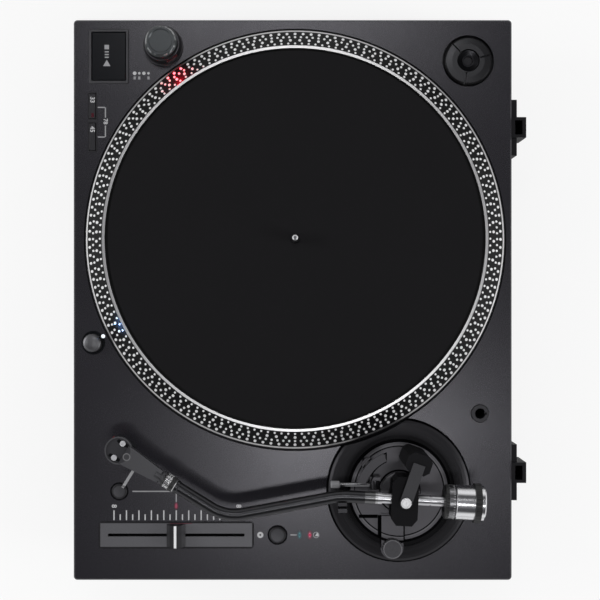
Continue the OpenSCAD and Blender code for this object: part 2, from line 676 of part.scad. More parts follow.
module speed_button(k) color("#2c2c2f") at(speed_at + [speed_button_xs()[k], 0], 0) {
    w = [speed_button_w, speed_second_w][k] - 2 * gap;
    d = speed_d - 1.6 - 2 * gap;
    translate([0, 0, deck_z - cap_h + 1]) chamfered_block(w, d, cap_h, 0.7, 0.4);
    translate([0, 0, switch_z + press_travel + 0.3]) cylinder(r = stem_r, h = deck_z - cap_h + 1 - switch_z - press_travel);
}
module speed_button_33() speed_button(0);
module speed_button_45() speed_button(1);

module round_button(p, r) color("#2a2a2c") at(p, deck_z - cap_h) rotate_extrude() polygon([
    [0, 0], [r, 0], [r, cap_h + 0.2], [r - 0.8, cap_h + 1], [r * 0.6, cap_h + 0.8], [0, cap_h + 0.6]]);
module quartz_button() round_button(quartz_at, quartz_button_r);
module range_button() round_button(range_at, range_button_r);

module strobe_tower() color("#3a3a3d") at(dial_at) difference() {
    union() {
        rotate_extrude() polygon([[3 + fit, deck_z - 6], [5.8, deck_z - 6], [5.8, deck_z], [tower_r, deck_z],
            [tower_r, deck_z + 2.5], [tower_r - 0.8, deck_z + 3.3], [tower_r - 2.2, deck_z + tower_h - 0.6],
            [tower_r - 2.8, deck_z + tower_h], [3 + fit, deck_z + tower_h]]);
    }
    tower_window() translate([tower_r - 4.5, -5, 0]) cube([10, 10, 5]);
}

// The strobe window faces the platter
module tower_window() translate([0, 0, deck_z + 4])
    rotate([0, 0, atan2(spindle[1] - dial_at[1], spindle[0] - dial_at[0])]) children();

module lamp_lenses() color("crimson") {
    at(dial_at) tower_window() translate([tower_r - 4.5, -4.9, 0.1]) cube([2.6, 9.8, 4.8]);
    at(target_at + pilot_shift(), deck_z - 3) {
        cylinder(r = pilot_r(), h = 3.8);
        translate([0, 0, 3.8]) cylinder(r1 = pilot_r(), r2 = 0.8, h = 0.6);
    }
    for (y = lamp_ys()) at(quartz_at + [0, y], under_z + 2) {
        cylinder(r = 1.5, h = deck_t - 2);
        translate([0, 0, deck_t - 2]) cylinder(r1 = 1.5, r2 = 0.9, h = 0.5);
    }
}

module power_dial() color("#3a3a3d") at(dial_at) {
    z = deck_z + tower_h + gap;
    rotate_extrude() polygon([[0, deck_z - 10], [3, deck_z - 10], [3, z], [dial_r - 0.6, z], [dial_r, z + 1],
        [dial_r, z + dial_h - 2.4], [dial_r - 1.6, z + dial_h - 0.6], [dial_r - 2.2, z + dial_h],
        [dial_r - 3.2, z + dial_h], [dial_r - 4, z + dial_h - 0.7], [0, z + dial_h - 0.7]]);
}

module target_collar() color("#141416") at(target_at) difference() {
    rotate_extrude() polygon([
        [target_r + gap, under_z - 16], [target_r + 1 + gap, under_z - 16], [target_r + 1 + gap, deck_z],
        [target_r + 1.7 + gap, deck_z], [target_r + 1.3 + gap, deck_z + 0.8], [target_r + gap, deck_z + 0.8]]);
    // notch for the pilot lamp
    translate([pilot_shift()[0], pilot_shift()[1], deck_z - 3.2]) cylinder(r = pilot_r() + 0.1, h = 5);
}

module target_light() color("#3a3a3d") at(target_at) difference() {
    rotate_extrude() polygon([[0, under_z - 3], [target_r, under_z - 3], [target_r, deck_z + target_up - 2.6],
        [target_r - 0.5, deck_z + target_up - 1.6], [target_r * 0.75, deck_z + target_up - 0.8],
        [target_r * 0.45, deck_z + target_up - 0.2], [0, deck_z + target_up]]);
    // lamp window that faces the platter
    translate([0, 0, deck_z + target_up - 7]) rotate([0, 0, atan2(spindle[1] - target_at[1], spindle[0] - target_at[0])])
        rotate([0, 65, 0]) cylinder(r = 2, h = 2 * target_r);
}

module fader_panel() color("#4a4a4d") at(fader_at, deck_z - panel_sink) difference() {
    chamfered_block(fader_w - 0.2, fader_l - 0.2, panel_t, 2.9, 0.3);
    translate([0, 0, -EPS]) box(slot_w, slot_l, panel_t + 2 * EPS);
}

module fader_unit() color("#8a8a8d") at(fader_at, under_z - 10) difference() {
    box(14, slot_l + 18, 10);
    translate([0, 0, 4]) box(slot_w, slot_l, 10);
}

module pitch_slider() color("#1a1a1c") at(fader_at) {
    z = deck_z - panel_sink + panel_t + gap;
    translate([0, 0, z]) rotate([90, 0, 90]) linear_extrude(17.8, center = true)
        polygon([[-7.4, 0], [7.4, 0], [7.4, 1.6], [2.6, 8.3], [2.1, 9], [-2.1, 9], [-2.6, 8.3], [-7.4, 1.6]]);
    translate([0, 0, under_z - 5]) box(slot_w - 1, 6, z - under_z + 5);
}

// ---------------------------------------------------------------- deck fittings

module adapter_45() color("#3c3c3f") at(adapter_at, deck_z - recess_depth + 0.05) difference() {
    rotate_extrude() polygon([[spindle_r + 0.05, 0], [adapter_r - 0.5, 0], [adapter_r, 0.5],
        [adapter_r, adapter_t - 2.4], [adapter_r - 1.2, adapter_t - 0.5], [adapter_r - 6, adapter_t],
        [9, adapter_t], [8.4, adapter_t - 1.6], [spindle_r + 1.2, adapter_t - 2.6], [spindle_r + 0.05, adapter_t - 2.6]]);
    for (a = [104, 224, 350]) rotate([0, 0, a]) translate([9.6, -0.6, adapter_t - 3.2]) cube([adapter_r, 1.2, 4]);
}

module headshell_holder() color("#1b1b1d") at(holder_at) difference() {
    rotate_extrude() polygon([[holder_r, deck_z + 1.2 - holder_h], [holder_r + 2.5, deck_z + 1.2 - holder_h],
        [holder_r + 2.5, deck_z], [holder_r + 3.2, deck_z], [holder_r + 2.6, deck_z + 1.2], [holder_r, deck_z + 1.2]]);
    // keyway for the headshell's locating pin
    translate([0, holder_r - 0.5, deck_z - 4]) box(1.8, 3, 6);
}

// ---------------------------------------------------------------- tonearm base

module arm_base() color("#252527") difference() {
    at(pivot) rotate_extrude() polygon(concat([[journal_r + 8, base_floor_z], [neck_r, base_floor_z], [neck_r, deck_z],
        [base_r, deck_z]], dome_profile(disc_r + 4.6, base_r, deck_z + 0.9, disc_z), [
        [disc_r + 3.4, disc_z], [disc_r + 3.4, disc_z - 1.4], [disc_r + 0.3, disc_z - 1.4],
        [disc_r + 0.3, base_floor_z + 4], [journal_r + 8, base_floor_z + 4]]));
    at(spindle, deck_z - well_depth) cylinder(r = well_r, h = 30);
    at(pivot + [rest_x(), -rest_y], disc_z - 4) cylinder(r = rest_post_r(), h = 10);
}

// A quarter of an ellipse in six steps, from its foot outside to its top inside
function dome_profile(r_in, r_out, z_low, z_high) =
    [for (a = [0 : 15 : 90]) [r_in + (r_out - r_in) * cos(a), z_low + (z_high - z_low) * sin(a)]];

function rest_x() = (rest_left() + rest_right()) / 2;
function rest_post_r() = 3.5;

module arm_disc() color("#333336") at(pivot) {
    difference() {
        rotate_extrude() polygon([[journal_r + fit, base_floor_z + 4], [disc_r, base_floor_z + 4], [disc_r, disc_z],
            [hub_r + 1, disc_z], [hub_r, disc_z + 1], [hub_r, hub_top_z - 1.2], [hub_r - 1.2, hub_top_z],
            [journal_r + fit, hub_top_z]]);
        lift_post_place() translate([0, 0, disc_z - 20]) cylinder(r = 2.5 + fit, h = 40);
        translate([hub_r + 2, -skate_y, disc_z - 1]) box(1, 18, 2);
    }
    // cue cylinder round the lift's post
    lift_post_place() translate([0, 0, disc_z - 0.5]) ring(5, 2.5 + fit, 12.5);
    // bearing block of the cue lever
    translate([-lever_x - 6.2, -lever_y - 4, disc_z]) lever_cheek();
    translate([-lever_x + 3.6, -lever_y - 4, disc_z]) lever_cheek();
    // tab that carries the anti-skate dial
    difference() {
        translate([0, -skate_y, disc_z]) {
            translate([hub_r + 4, -9, -0.5]) cube([disc_r - hub_r - 11, 18, 1]);
            translate([hub_r + 4, -9, 0]) cube([skate_x - hub_r - 4, 18, 2.6]);
            translate([skate_x, 0, 0]) cylinder(r = 9, h = 2.6);
        }
        translate([skate_x, -skate_y, disc_z - EPS]) cylinder(r = 3 + fit, h = 5);
    }
}

module lever_cheek() difference() {
    translate([0, 0, -0.5]) cube([2.6, 8, 13.5]);
    translate([-EPS, 4, lever_shaft_h()]) rotate([0, 90, 0]) cylinder(r = 1.8 + fit, h = 5);
}

function lever_shaft_h() = 9.5;

module lift_post_place() rotate([0, 0, -42]) translate([0, -lift_bar_r, 0]) children();

// Fixed frame: a pillar beside the arm, and a bridge over the yoke that holds the upper pivot screw
module arm_frame() color("#2e2e31") at(pivot) rotate([0, 0, -bridge_turn]) difference() {
    union() {
        translate([-pillar_reach, 0, disc_z]) {
            linear_extrude(bridge_z - disc_z) polygon([[-7.5, -6], [-4, -9.5], [5, -9.5], [7.5, -6], [7.5, 6],
                [4, 9.5], [-4, 9.5], [-7.5, 6]]);
            translate([0, 0, bridge_z - disc_z]) linear_extrude(bridge_t - 1.6) polygon([[-7.5, -6], [-4, -9.5], [5, -9.5],
                [7.5, -6], [7.5, 6], [4, 9.5], [-4, 9.5], [-7.5, 6]]);
        }
        translate([-pillar_reach, -4.6, bridge_z]) cube([pillar_reach, 9.2, bridge_t]);
        translate([0, 0, bridge_z]) cylinder(r = 4.6, h = bridge_t);
    }
    translate([0, 0, bridge_z - EPS]) cylinder(r = 2.4, h = bridge_t + 2 * EPS);
}

module pivot_screw() color("silver") at(pivot) difference() {
    union() {
        translate([0, 0, yoke_top_z - 2.3]) cylinder(r = 1.5, h = 5);
        translate([0, 0, bridge_z + 0.2]) cylinder(r = 2.38, h = bridge_t);
        translate([0, 0, bridge_z + bridge_t]) cylinder(r = 4, h = 1.6);
    }
    translate([0, 0, bridge_z + bridge_t + 0.8]) box(7, 0.9, 2);
}

module arm_rest() color("#1d1d1f") at(pivot + [0, -rest_y]) {
    shelf_z = axis_z - tube_r - 0.3;
    translate([rest_x(), 0, disc_z - 4]) cylinder(r = rest_post_r() - 0.05, h = shelf_z - 5 - disc_z + 5);
    translate([rest_left(), -3.5, shelf_z - 5]) cube([rest_right() - rest_left(), 7, 5]);
    // upright lip on the outer side, with the clip's hinge plate
    translate([rest_right() - 2.6, -3.5, shelf_z - 1]) cube([2.6, 7, 5]);
}

// The shelf starts just beside the cue lever's knob and ends behind the lip
function rest_tube_x() = -rest_y * sin(park_turn) + 0.2;
function rest_left() = -lever_x + 2.9 + 0.5;
function rest_right() = rest_tube_x() + tube_r + 0.4 + 2.6;

module rest_clip() color("silver") at(pivot + [rest_right() + 0.3 + clip_r, -rest_y], axis_z - tube_r + 0.9)
    rotate([90, 0, 0]) translate([0, 0, -3.4]) {
        cylinder(r = clip_r, h = 6.8);
        translate([-0.9, 0, 0]) cube([1.8, 8, 6.8]);
        translate([-0.9, 7, 0]) cube([3, 1.6, 6.8]);
    }

module cue_lever() color("#2c2c2e") at(pivot + [-lever_x, -lever_y], disc_z + lever_shaft_h()) {
    translate([-5.8, 0, 0]) rotate([0, 90, 0]) cylinder(r = 1.8, h = 11.6);
    difference() {
        translate([-3.2, 0, 0]) rotate([0, 90, 0]) cylinder(r = 3.4, h = 6.4);
    }
    rod_y(1.6, -lever_l + 6, 0);
    turned_y([[0, -lever_l], [2.2, -lever_l], [2.9, -lever_l + 0.8], [2.9, -lever_l + 6.6], [2.2, -lever_l + 7.4],
        [0, -lever_l + 7.4]]);
}

module cue_lift() color("#3f3f42") at(pivot) {
    top_z = axis_z - tube_r - lift_drop;
    // the bar is an arc round the pivot, so it lies under the tube wherever the arm plays
    rotate([0, 0, -90 - 66]) translate([0, 0, top_z - 3]) rotate_extrude(angle = 47)
        translate([lift_bar_r - lift_bar_w / 2, 0]) square([lift_bar_w, 3]);
    lift_post_place() translate([0, 0, disc_z - 6]) cylinder(r = 2.5, h = top_z - 3 - disc_z + 6.5);
}

module anti_skate_dial() color("#55555a") at(pivot + [skate_x, -skate_y]) difference() {
    z = disc_z + 2.6 + gap;
    rotate_extrude() polygon([[0, disc_z + 0.2], [3, disc_z + 0.2], [3, z], [skate_r, z], [skate_r, z + 4.6],
        [skate_r - 0.8, z + 5.4], [0, z + 5.4]]);
    for (a = [0 : 15 : 345]) rotate([0, 0, a]) translate([skate_r + 0.2, 0, z - EPS]) cylinder(r = 0.6, h = 8);
}

// ---------------------------------------------------------------- tonearm

module arm_yoke() color("#232325") at_arm() {
    half = yoke_w;
    inner = yoke_w - 4;
    z0 = axis_z - 13.5;
    difference() {
        translate([0, 0, z0]) linear_extrude(yoke_top_z - z0) polygon([[-half, -yoke_l + 4], [-half + 5, -yoke_l],
            [half - 5, -yoke_l], [half, -yoke_l + 4], [half, yoke_l - 4], [half - 5, yoke_l],
            [-half + 5, yoke_l], [-half, yoke_l - 4]]);
        // the arm passes through here
        translate([-inner, -yoke_l - EPS, axis_z - 9]) cube([2 * inner, 2 * (yoke_l + EPS), 15.9]);
        translate([-yoke_w - EPS, 0, axis_z]) rotate([0, 90, 0]) cylinder(r = side_pin_r + fit, h = 2 * yoke_w + 2 * EPS);
        translate([0, 0, yoke_top_z - 2.6]) cylinder(r = 1.5 + fit, h = 5);
    }
    translate([0, 0, base_floor_z + 8]) cylinder(r = journal_r, h = z0 - base_floor_z - 7);
    translate([0, 0, hub_top_z + gap]) cylinder(r = 9, h = z0 - hub_top_z - gap + EPS);
}

module gimbal_block() color("#1a1a1c") at_arm(axis_z) {
    difference() {
        translate([-7, -7.5, -5.6]) cube([14, 15, 11.2]);
        rod_y(stub_r + 0.02, -8, 8);
    }
    for (s = [0, 1]) mirror([s, 0, 0]) translate([6.5, 0, 0]) rotate([0, 90, 0]) {
        cylinder(r = 3.4, h = yoke_w - 4 - 6.5 - gap);
        cylinder(r = side_pin_r, h = yoke_w - 6.5 - 0.6);
    }
}

module arm_stub() color("silver") at_arm(axis_z) {
    difference() {
        rod_y(stub_r, -20, weight_end - 4);
        translate([0, 19.6, 0]) turned_y([[stub_r - 0.6, 0], [stub_r + 1, 0], [stub_r + 1, 0.9], [stub_r - 0.6, 0.9]]);
    }
    rod_y(stub_r + 0.7, -20, -17);
}

// One bend of the tube: the arc starts at the origin along -Y and turns to the side of turn's sign
module tube_bend(r, turn) {
    s = sign(turn);
    translate([s * r, 0, 0]) rotate([0, 0, s > 0 ? 180 : -abs(turn)]) rotate_extrude(angle = abs(turn))
        translate([r, 0]) circle(r = tube_r - bend_step);
}

module arm_tube() color("#46464a") at_arm(axis_z) {
    cut_1 = bend_out_r * tan(bend_out / 2);     // tangent lengths of the two bends
    cut_2 = bend_in_r * tan(bend_in / 2);
    rod_y(tube_r, -rear_straight + cut_1 - bend_lap, -20);
    translate([0, -rear_straight + cut_1, 0]) tube_bend(bend_out_r, bend_out);
    at(corner_1) rotate([0, 0, bend_out]) {
        rod_y(tube_r, -bend_gap + cut_2 - bend_lap, -cut_1 + bend_lap);
        translate([0, -bend_gap + cut_2, 0]) tube_bend(bend_in_r, -bend_in);
    }
    at(corner_2) rotate([0, 0, -head_turn]) {
        rod_y(tube_r, -collar_back + gap, -cut_2 + bend_lap);
        rod_y(collar_r - 1.6, -collar_front + 1, -collar_back + 1);
        turned_y([[tube_r - 1, -collar_back + gap], [tube_r + 0.6, -collar_back + gap], [tube_r + 0.6, -collar_back + 2.4],
            [tube_r - 1, -collar_back + 4]]);
    }
}

module lock_collar() color("silver") at_head(axis_z) difference() {
    turned_y([[collar_r - 1.6 + fit, -collar_front], [collar_r - 0.5, -collar_front], [collar_r, -collar_front + 0.6],
        [collar_r, -collar_back - 0.6], [collar_r - 0.5, -collar_back], [collar_r - 1.6 + fit, -collar_back]]);
    for (a = [0 : 20 : 340]) rotate([0, a, 0]) translate([collar_r + 0.25, 0, 0])
        rod_y(0.55, -collar_front + 1.4, -collar_back - 1.4);
}

module headshell() color("#2d2d30") at_head(0) difference() {
    neck_end = collar_front + 3.2;
    union() {
        // flange against the collar, and the round neck
        translate([0, 0, axis_z]) {
            rod_y(collar_r - 0.2, -collar_front - 2, -collar_front - gap);
            rod_y(4, -neck_end - 4, -collar_front - 1);
        }
        // tapered body
        translate([0, 0, head_bottom_z]) linear_extrude(6) polygon([[-4.9, -neck_end], [4.9, -neck_end],
            [7.6, -screw_y + 9], [7.6, -screw_y + 5], [-7.6, -screw_y + 5], [-7.6, -screw_y + 9]]);
        // round front plate with its rim
        translate([0, -screw_y, head_bottom_z]) cylinder(r = 10.6, h = 2.6);
        translate([0, -screw_y, head_bottom_z + 2]) ring(10.6, 9.6, 1.8);
    }
    // slots for the cartridge screws
    for (x = [-1, 1]) translate([x * screw_pitch / 2, -screw_y, head_bottom_z - EPS]) {
        for (y = [-3.5, 3.5]) translate([0, y, 0]) cylinder(r = 1.4, h = 6);
        box(2.8, 7, 6);
    }
}

module finger_lift() color("#505054") at_head(head_bottom_z - 0.9) {
    translate([-4, -screw_y + 14.5, 0]) cube([10, 6, 0.9]);
    translate([6, -screw_y + 16.4, 0]) cube([14, 2.2, 0.9]);
    translate([20, -screw_y + 17.5, 0]) rotate([90, 0, 0]) translate([0, 3.45, -1.1])
        rotate([0, 0, -90]) rotate_extrude(angle = 60) translate([2.55, 0]) square([0.9, 2.2]);
}

module cartridge() color("#202022") at_head(0) {
    bottom = tip_z + 4;
    difference() {
        translate([0, -screw_y, 0]) rotate([90, 0, 90]) linear_extrude(17, center = true) polygon([
            [10, head_bottom_z], [10, bottom + 4], [7, bottom], [-6, bottom], [-7, bottom + 3], [-7, head_bottom_z]]);
        for (x = [-1, 1]) translate([x * screw_pitch / 2, -screw_y, head_bottom_z - 8]) cylinder(r = 1.25, h = 20);
    }
    // four contact pins at the back
    for (x = [-1, 1], z = [4, 8]) translate([x * 3, 0, bottom + 2 + z]) rod_y(0.6, -screw_y + 10, -screw_y + 14);
}

module stylus() color("#b03030") at_head(0) {
    front = -screw_y - 7;
    translate([0, front, 0]) rotate([90, 0, 90]) linear_extrude(9, center = true) polygon([[0, tip_z + 4.2], [0, tip_z + 15],
        [-2.4, tip_z + 15], [-3.2, tip_z + 6], [-2.6, tip_z + 4.2]]);
    // cantilever with the diamond at its end
    translate([0, front - 0.2, tip_z + 5]) rotate([atan2(4, 2.3), 0, 0]) rod_y(0.35, -5.2, 0);
    translate([0, -head_reach, tip_z]) cylinder(r1 = 0.1, r2 = 0.4, h = 1.2);
}

module cartridge_screws() color("silver") at_head(0) for (x = [-1, 1])
    translate([x * screw_pitch / 2, -screw_y, 0]) difference() {
        union() {
            translate([0, 0, head_bottom_z - 7]) cylinder(r = 1.2, h = 10);
            translate([0, 0, head_bottom_z + 2.6]) cylinder(r = 2.2, h = 1.6);
        }
        translate([0, 0, head_bottom_z + 3.6]) box(5, 0.6, 2);
    }

module headshell_leads() color("firebrick") at_head(0) for (x = [-1, 1], z = [4, 8])
    translate([x * 3, 0, tip_z + 6 + z]) difference() {
        rod_y(1, -screw_y + 10.6, -screw_y + 17);
        rod_y(0.62, -screw_y + 10, -screw_y + 14.2);
    }

// ---------------------------------------------------------------- counterweight

module weight_insert() color("#101012") at_arm(axis_z) difference() {
    rod_y(insert_r, dial_front + 0.8, weight_end - 3);
    rod_y(stub_r + fit, dial_front, weight_end);
}

module weight_dial() color("#2a2a2c") at_arm(axis_z) difference() {
    turned_y([[insert_r + fit, dial_front], [weight_r - 1.4, dial_front], [weight_r - 0.2, dial_front + 1],
        [weight_r - 0.2, dial_front + weight_dial_l], [insert_r + fit, dial_front + weight_dial_l]]);
    for (a = [0 : 12 : 348]) rotate([0, a, 0]) translate([weight_r + 0.2, 0, 0])
        rod_y(0.7, dial_front - EPS, dial_front + 3.4);
}

module counterweight() color("silver") at_arm(axis_z) difference() {
    turned_y([[insert_r + fit, weight_front], [weight_r - 0.8, weight_front], [weight_r, weight_front + 0.8],
        [weight_r, weight_end - 8.2], [weight_grip_r, weight_end - 8.2], [weight_grip_r, weight_end - 3.4],
        [weight_r + 0.3, weight_end - 3.4], [weight_r + 0.3, weight_end - 1], [weight_r - 1.2, weight_end],
        [insert_r + 1.5, weight_end], [insert_r + 1.5, weight_end - 2.4], [insert_r + fit, weight_end - 2.4]]);
    for (a = [0 : 12 : 348]) rotate([0, a, 0]) translate([weight_grip_r + 0.3, 0, 0])
        rod_y(0.8, weight_end - 8.2 - EPS, weight_end - 3.4 + EPS);
}

// ---------------------------------------------------------------- parts

top_plate();
base_tub();
casing_screws();
motor_stator();
motor_bearing();
circuit_boards();
jack_panel();
rear_terminals();
rear_sockets();
hinge_sockets();
start_stop_bezel();
strobe_tower();
lamp_lenses();
speed_bezel();
target_collar();
fader_panel();
fader_unit();
headshell_holder();
arm_base();
arm_disc();
arm_frame();
pivot_screw();
arm_rest();
platter();
slipmat();
spindle_shaft();  // spindle
rotor_magnet();
arm_yoke();
arm_tube();
arm_stub();
gimbal_block();
weight_insert();
counterweight();
weight_dial();
lock_collar();
headshell();
finger_lift();
cartridge();
stylus();
cartridge_screws();
headshell_leads();
cue_lever();
cue_lift();
anti_skate_dial();
rest_clip();
pitch_slider();
start_stop_button();
speed_button_33();
speed_button_45();
range_button();
quartz_button();
power_dial();
target_light();
adapter_45();
foot_front_left();
foot_back_left();
foot_front_right();
foot_back_right();
preamp_switch();
ground_nut();
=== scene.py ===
import json
import math

import bmesh
import bpy
from mathutils import Matrix, Vector


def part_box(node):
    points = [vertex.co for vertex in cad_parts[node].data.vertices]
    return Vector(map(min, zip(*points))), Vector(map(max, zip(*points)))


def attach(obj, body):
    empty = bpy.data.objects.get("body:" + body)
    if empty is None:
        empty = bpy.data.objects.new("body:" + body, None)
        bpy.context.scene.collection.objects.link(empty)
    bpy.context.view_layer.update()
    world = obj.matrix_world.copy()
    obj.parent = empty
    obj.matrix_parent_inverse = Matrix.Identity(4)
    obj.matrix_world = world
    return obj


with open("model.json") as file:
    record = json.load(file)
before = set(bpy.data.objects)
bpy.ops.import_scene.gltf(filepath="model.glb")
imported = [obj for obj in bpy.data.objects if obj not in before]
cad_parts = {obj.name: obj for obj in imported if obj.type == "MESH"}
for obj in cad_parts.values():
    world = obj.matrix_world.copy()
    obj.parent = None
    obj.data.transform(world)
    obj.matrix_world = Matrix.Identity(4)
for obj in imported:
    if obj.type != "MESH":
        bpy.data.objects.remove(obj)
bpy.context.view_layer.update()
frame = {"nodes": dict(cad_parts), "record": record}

# ---- Room
# The player stands on a white sweep, under two softboxes and a strip lamp, between two side panels.
# The camera hangs straight above the deck, with the front of the player to its left.
MM = 0.001
scene = bpy.context.scene
scene.view_settings.view_transform = "Standard"
deck_low, deck_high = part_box("top_plate")
DECK = deck_high.z
CAMERA_ABOVE_DECK = 950 * MM
FRAME_WIDTH_AT_DECK = 481.9 * MM
SENSOR_WIDTH = 36
# How far the deck's middle lies from the frame's, as a share of the frame's width
OFF_CENTRE = 0.0122

camera = bpy.data.objects.new("camera", bpy.data.cameras.new("camera"))
scene.collection.objects.link(camera)
camera.data.sensor_width = SENSOR_WIDTH
camera.data.lens = SENSOR_WIDTH * CAMERA_ABOVE_DECK / FRAME_WIDTH_AT_DECK
camera.data.shift_x = OFF_CENTRE
camera.location = (0, (deck_low.y + deck_high.y) / 2, DECK + CAMERA_ABOVE_DECK)
camera.rotation_euler = (0, 0, math.radians(90))
scene.camera = camera


def hang(lamp, place, aim):
    """Puts a lamp in the scene at a place, facing a point."""
    holder = bpy.data.objects.new(lamp.name, lamp)
    scene.collection.objects.link(holder)
    holder.location = place
    holder.rotation_euler = (Vector(aim) - Vector(place)).to_track_quat("-Z", "Y").to_euler()


def softbox(name, place, width, depth, power):
    """A rectangular lamp that faces the middle of the deck."""
    lamp = bpy.data.lights.new(name, "AREA")
    lamp.shape = "RECTANGLE"
    lamp.size, lamp.size_y = width, depth
    lamp.energy = power
    hang(lamp, place, (0, 0, DECK))


softbox("right_softbox", (0.33, 0.09, 2.0), 0.44, 0.10, 3.5)
softbox("weight_strip", (0.36, 0.42, 2.0), 0.19, 0.05, 0.4)
softbox("left_softbox", (-0.72, -0.04, 1.9), 0.66, 0.26, 3.6)
softbox("front_panel", (-0.2, -1.6, 0.9), 0.8, 0.5, 10)
softbox("back_panel", (0.4, 1.6, 0.9), 0.8, 0.5, 10)

# What polished faces mirror: low down and level, white walls; higher, a dark band; overhead, a dim ceiling.
# Each step is a height, as the sine of the angle above the floor, and its tone.
WALL_TONES = ((0.34, (0.85, 0.85, 0.85)), (0.56, (0.05, 0.05, 0.054)), (0.80, (0.05, 0.05, 0.0535)),
              (0.93, (0.13, 0.13, 0.1391)))
world = bpy.data.worlds.new("studio")
scene.world = world
world.use_nodes = True
sky = world.node_tree
sky.nodes.clear()
ray = sky.nodes.new("ShaderNodeLightPath")
direction = sky.nodes.new("ShaderNodeTexCoord")
height = sky.nodes.new("ShaderNodeSeparateXYZ")
walls = sky.nodes.new("ShaderNodeValToRGB")
steps = walls.color_ramp.elements
for number, (sine, tone) in enumerate(WALL_TONES):
    step = steps[number] if number < len(steps) else steps.new(sine)
    step.position, step.color = sine, (*tone, 1)
sky.links.new(direction.outputs["Generated"], height.inputs[0])
sky.links.new(height.outputs["Z"], walls.inputs["Fac"])
ambient, mirrored, backdrop = (sky.nodes.new("ShaderNodeBackground") for _ in range(3))
ambient.inputs["Strength"].default_value = 0.60
backdrop.inputs["Color"].default_value = (0.96, 0.96, 0.96, 1)
sky.links.new(walls.outputs["Color"], mirrored.inputs["Color"])
to_mirror, to_camera = (sky.nodes.new("ShaderNodeMixShader") for _ in range(2))
polished = sky.nodes.new("ShaderNodeMath")
polished.operation = "MAXIMUM"
sky.links.new(ray.outputs["Is Glossy Ray"], polished.inputs[0])
sky.links.new(ray.outputs["Is Transmission Ray"], polished.inputs[1])
sky.links.new(polished.outputs[0], to_mirror.inputs[0])
sky.links.new(ambient.outputs[0], to_mirror.inputs[1])
sky.links.new(mirrored.outputs[0], to_mirror.inputs[2])
sky.links.new(ray.outputs["Is Camera Ray"], to_camera.inputs[0])
sky.links.new(to_mirror.outputs[0], to_camera.inputs[1])
sky.links.new(backdrop.outputs[0], to_camera.inputs[2])
sky.links.new(to_camera.outputs[0], sky.nodes.new("ShaderNodeOutputWorld").inputs[0])

# The sweep is a matt floor that looks nearly white from the camera and still shows the player's shadow
sweep = bmesh.new()
bmesh.ops.create_grid(sweep, x_segments=1, y_segments=1, size=4)
floor = bpy.data.objects.new("floor", bpy.data.meshes.new("floor"))
sweep.to_mesh(floor.data)
sweep.free()
scene.collection.objects.link(floor)
floor_paint = bpy.data.materials.new("white sweep")
floor_paint.use_nodes = True
floor_nodes, floor_links = floor_paint.node_tree.nodes, floor_paint.node_tree.links
matt = floor_nodes["Principled BSDF"]
matt.inputs["Base Color"].default_value = (0.9, 0.9, 0.9, 1)
matt.inputs["Roughness"].default_value = 0.8
white = floor_nodes.new("ShaderNodeEmission")
floor_ray = floor_nodes.new("ShaderNodeLightPath")
white_share = floor_nodes.new("ShaderNodeMath")
white_share.operation = "MULTIPLY"
white_share.inputs[1].default_value = 0.8
blend = floor_nodes.new("ShaderNodeMixShader")
floor_links.new(floor_ray.outputs["Is Camera Ray"], white_share.inputs[0])
floor_links.new(white_share.outputs[0], blend.inputs[0])
floor_links.new(matt.outputs[0], blend.inputs[1])
floor_links.new(white.outputs[0], blend.inputs[2])
floor_links.new(blend.outputs[0], floor_nodes["Material Output"].inputs["Surface"])
floor.data.materials.append(floor_paint)


# ---- Casing
# A die-cast upper body over a moulded tub, held together by screws from below.
# The upper body has a satin charcoal paint with a very fine texture; the tub is a dull moulded compound.
def new_group(name, inputs, outputs):
    """A shader node group with named sockets; gives the group and its two end nodes."""
    group = bpy.data.node_groups.new(name, "ShaderNodeTree")
    for socket, kind, value in inputs:
        group.interface.new_socket(socket, in_out="INPUT", socket_type=kind).default_value = value
    for socket, kind in outputs:
        group.interface.new_socket(socket, in_out="OUTPUT", socket_type=kind)
    return group, group.nodes.new("NodeGroupInput"), group.nodes.new("NodeGroupOutput")


def math_node(group, operation, first, second, clamp=False):
    """A Math node; each operand is a socket or a number."""
    node = group.nodes.new("ShaderNodeMath")
    node.operation = operation
    node.use_clamp = clamp
    for socket, operand in zip(node.inputs, (first, second)):
        if isinstance(operand, (int, float)):
            socket.default_value = operand
        else:
            group.links.new(operand, socket)
    return node.outputs[0]


# Fine grain: a speckle over slow clouds, for paint, moulded plastic, felt and cast metal.
# Speckle and Clouds say how far the colour varies with each, and Spread how far the roughness does.
GRAIN, grain_in, grain_out = new_group(
    "fine grain",
    [("Color", "NodeSocketColor", (0.5, 0.5, 0.5, 1)), ("Scale", "NodeSocketFloat", 900),
     ("Speckle", "NodeSocketFloat", 0.2), ("Clouds", "NodeSocketFloat", 0.1),
     ("Roughness", "NodeSocketFloat", 0.5), ("Spread", "NodeSocketFloat", 0.1)],
    [("Color", "NodeSocketColor"), ("Roughness", "NodeSocketFloat"), ("Height", "NodeSocketFloat")])
where = GRAIN.nodes.new("ShaderNodeTexCoord")
speck = GRAIN.nodes.new("ShaderNodeTexNoise")
speck.inputs["Detail"].default_value = 5
cloud = GRAIN.nodes.new("ShaderNodeTexNoise")
cloud.inputs["Detail"].default_value = 3
cloud.inputs["Scale"].default_value = 14
GRAIN.links.new(where.outputs["Object"], speck.inputs["Vector"])
GRAIN.links.new(where.outputs["Object"], cloud.inputs["Vector"])
GRAIN.links.new(grain_in.outputs["Scale"], speck.inputs["Scale"])
speck_off = math_node(GRAIN, "SUBTRACT", speck.outputs["Fac"], 0.5)
cloud_off = math_node(GRAIN, "SUBTRACT", cloud.outputs["Fac"], 0.5)
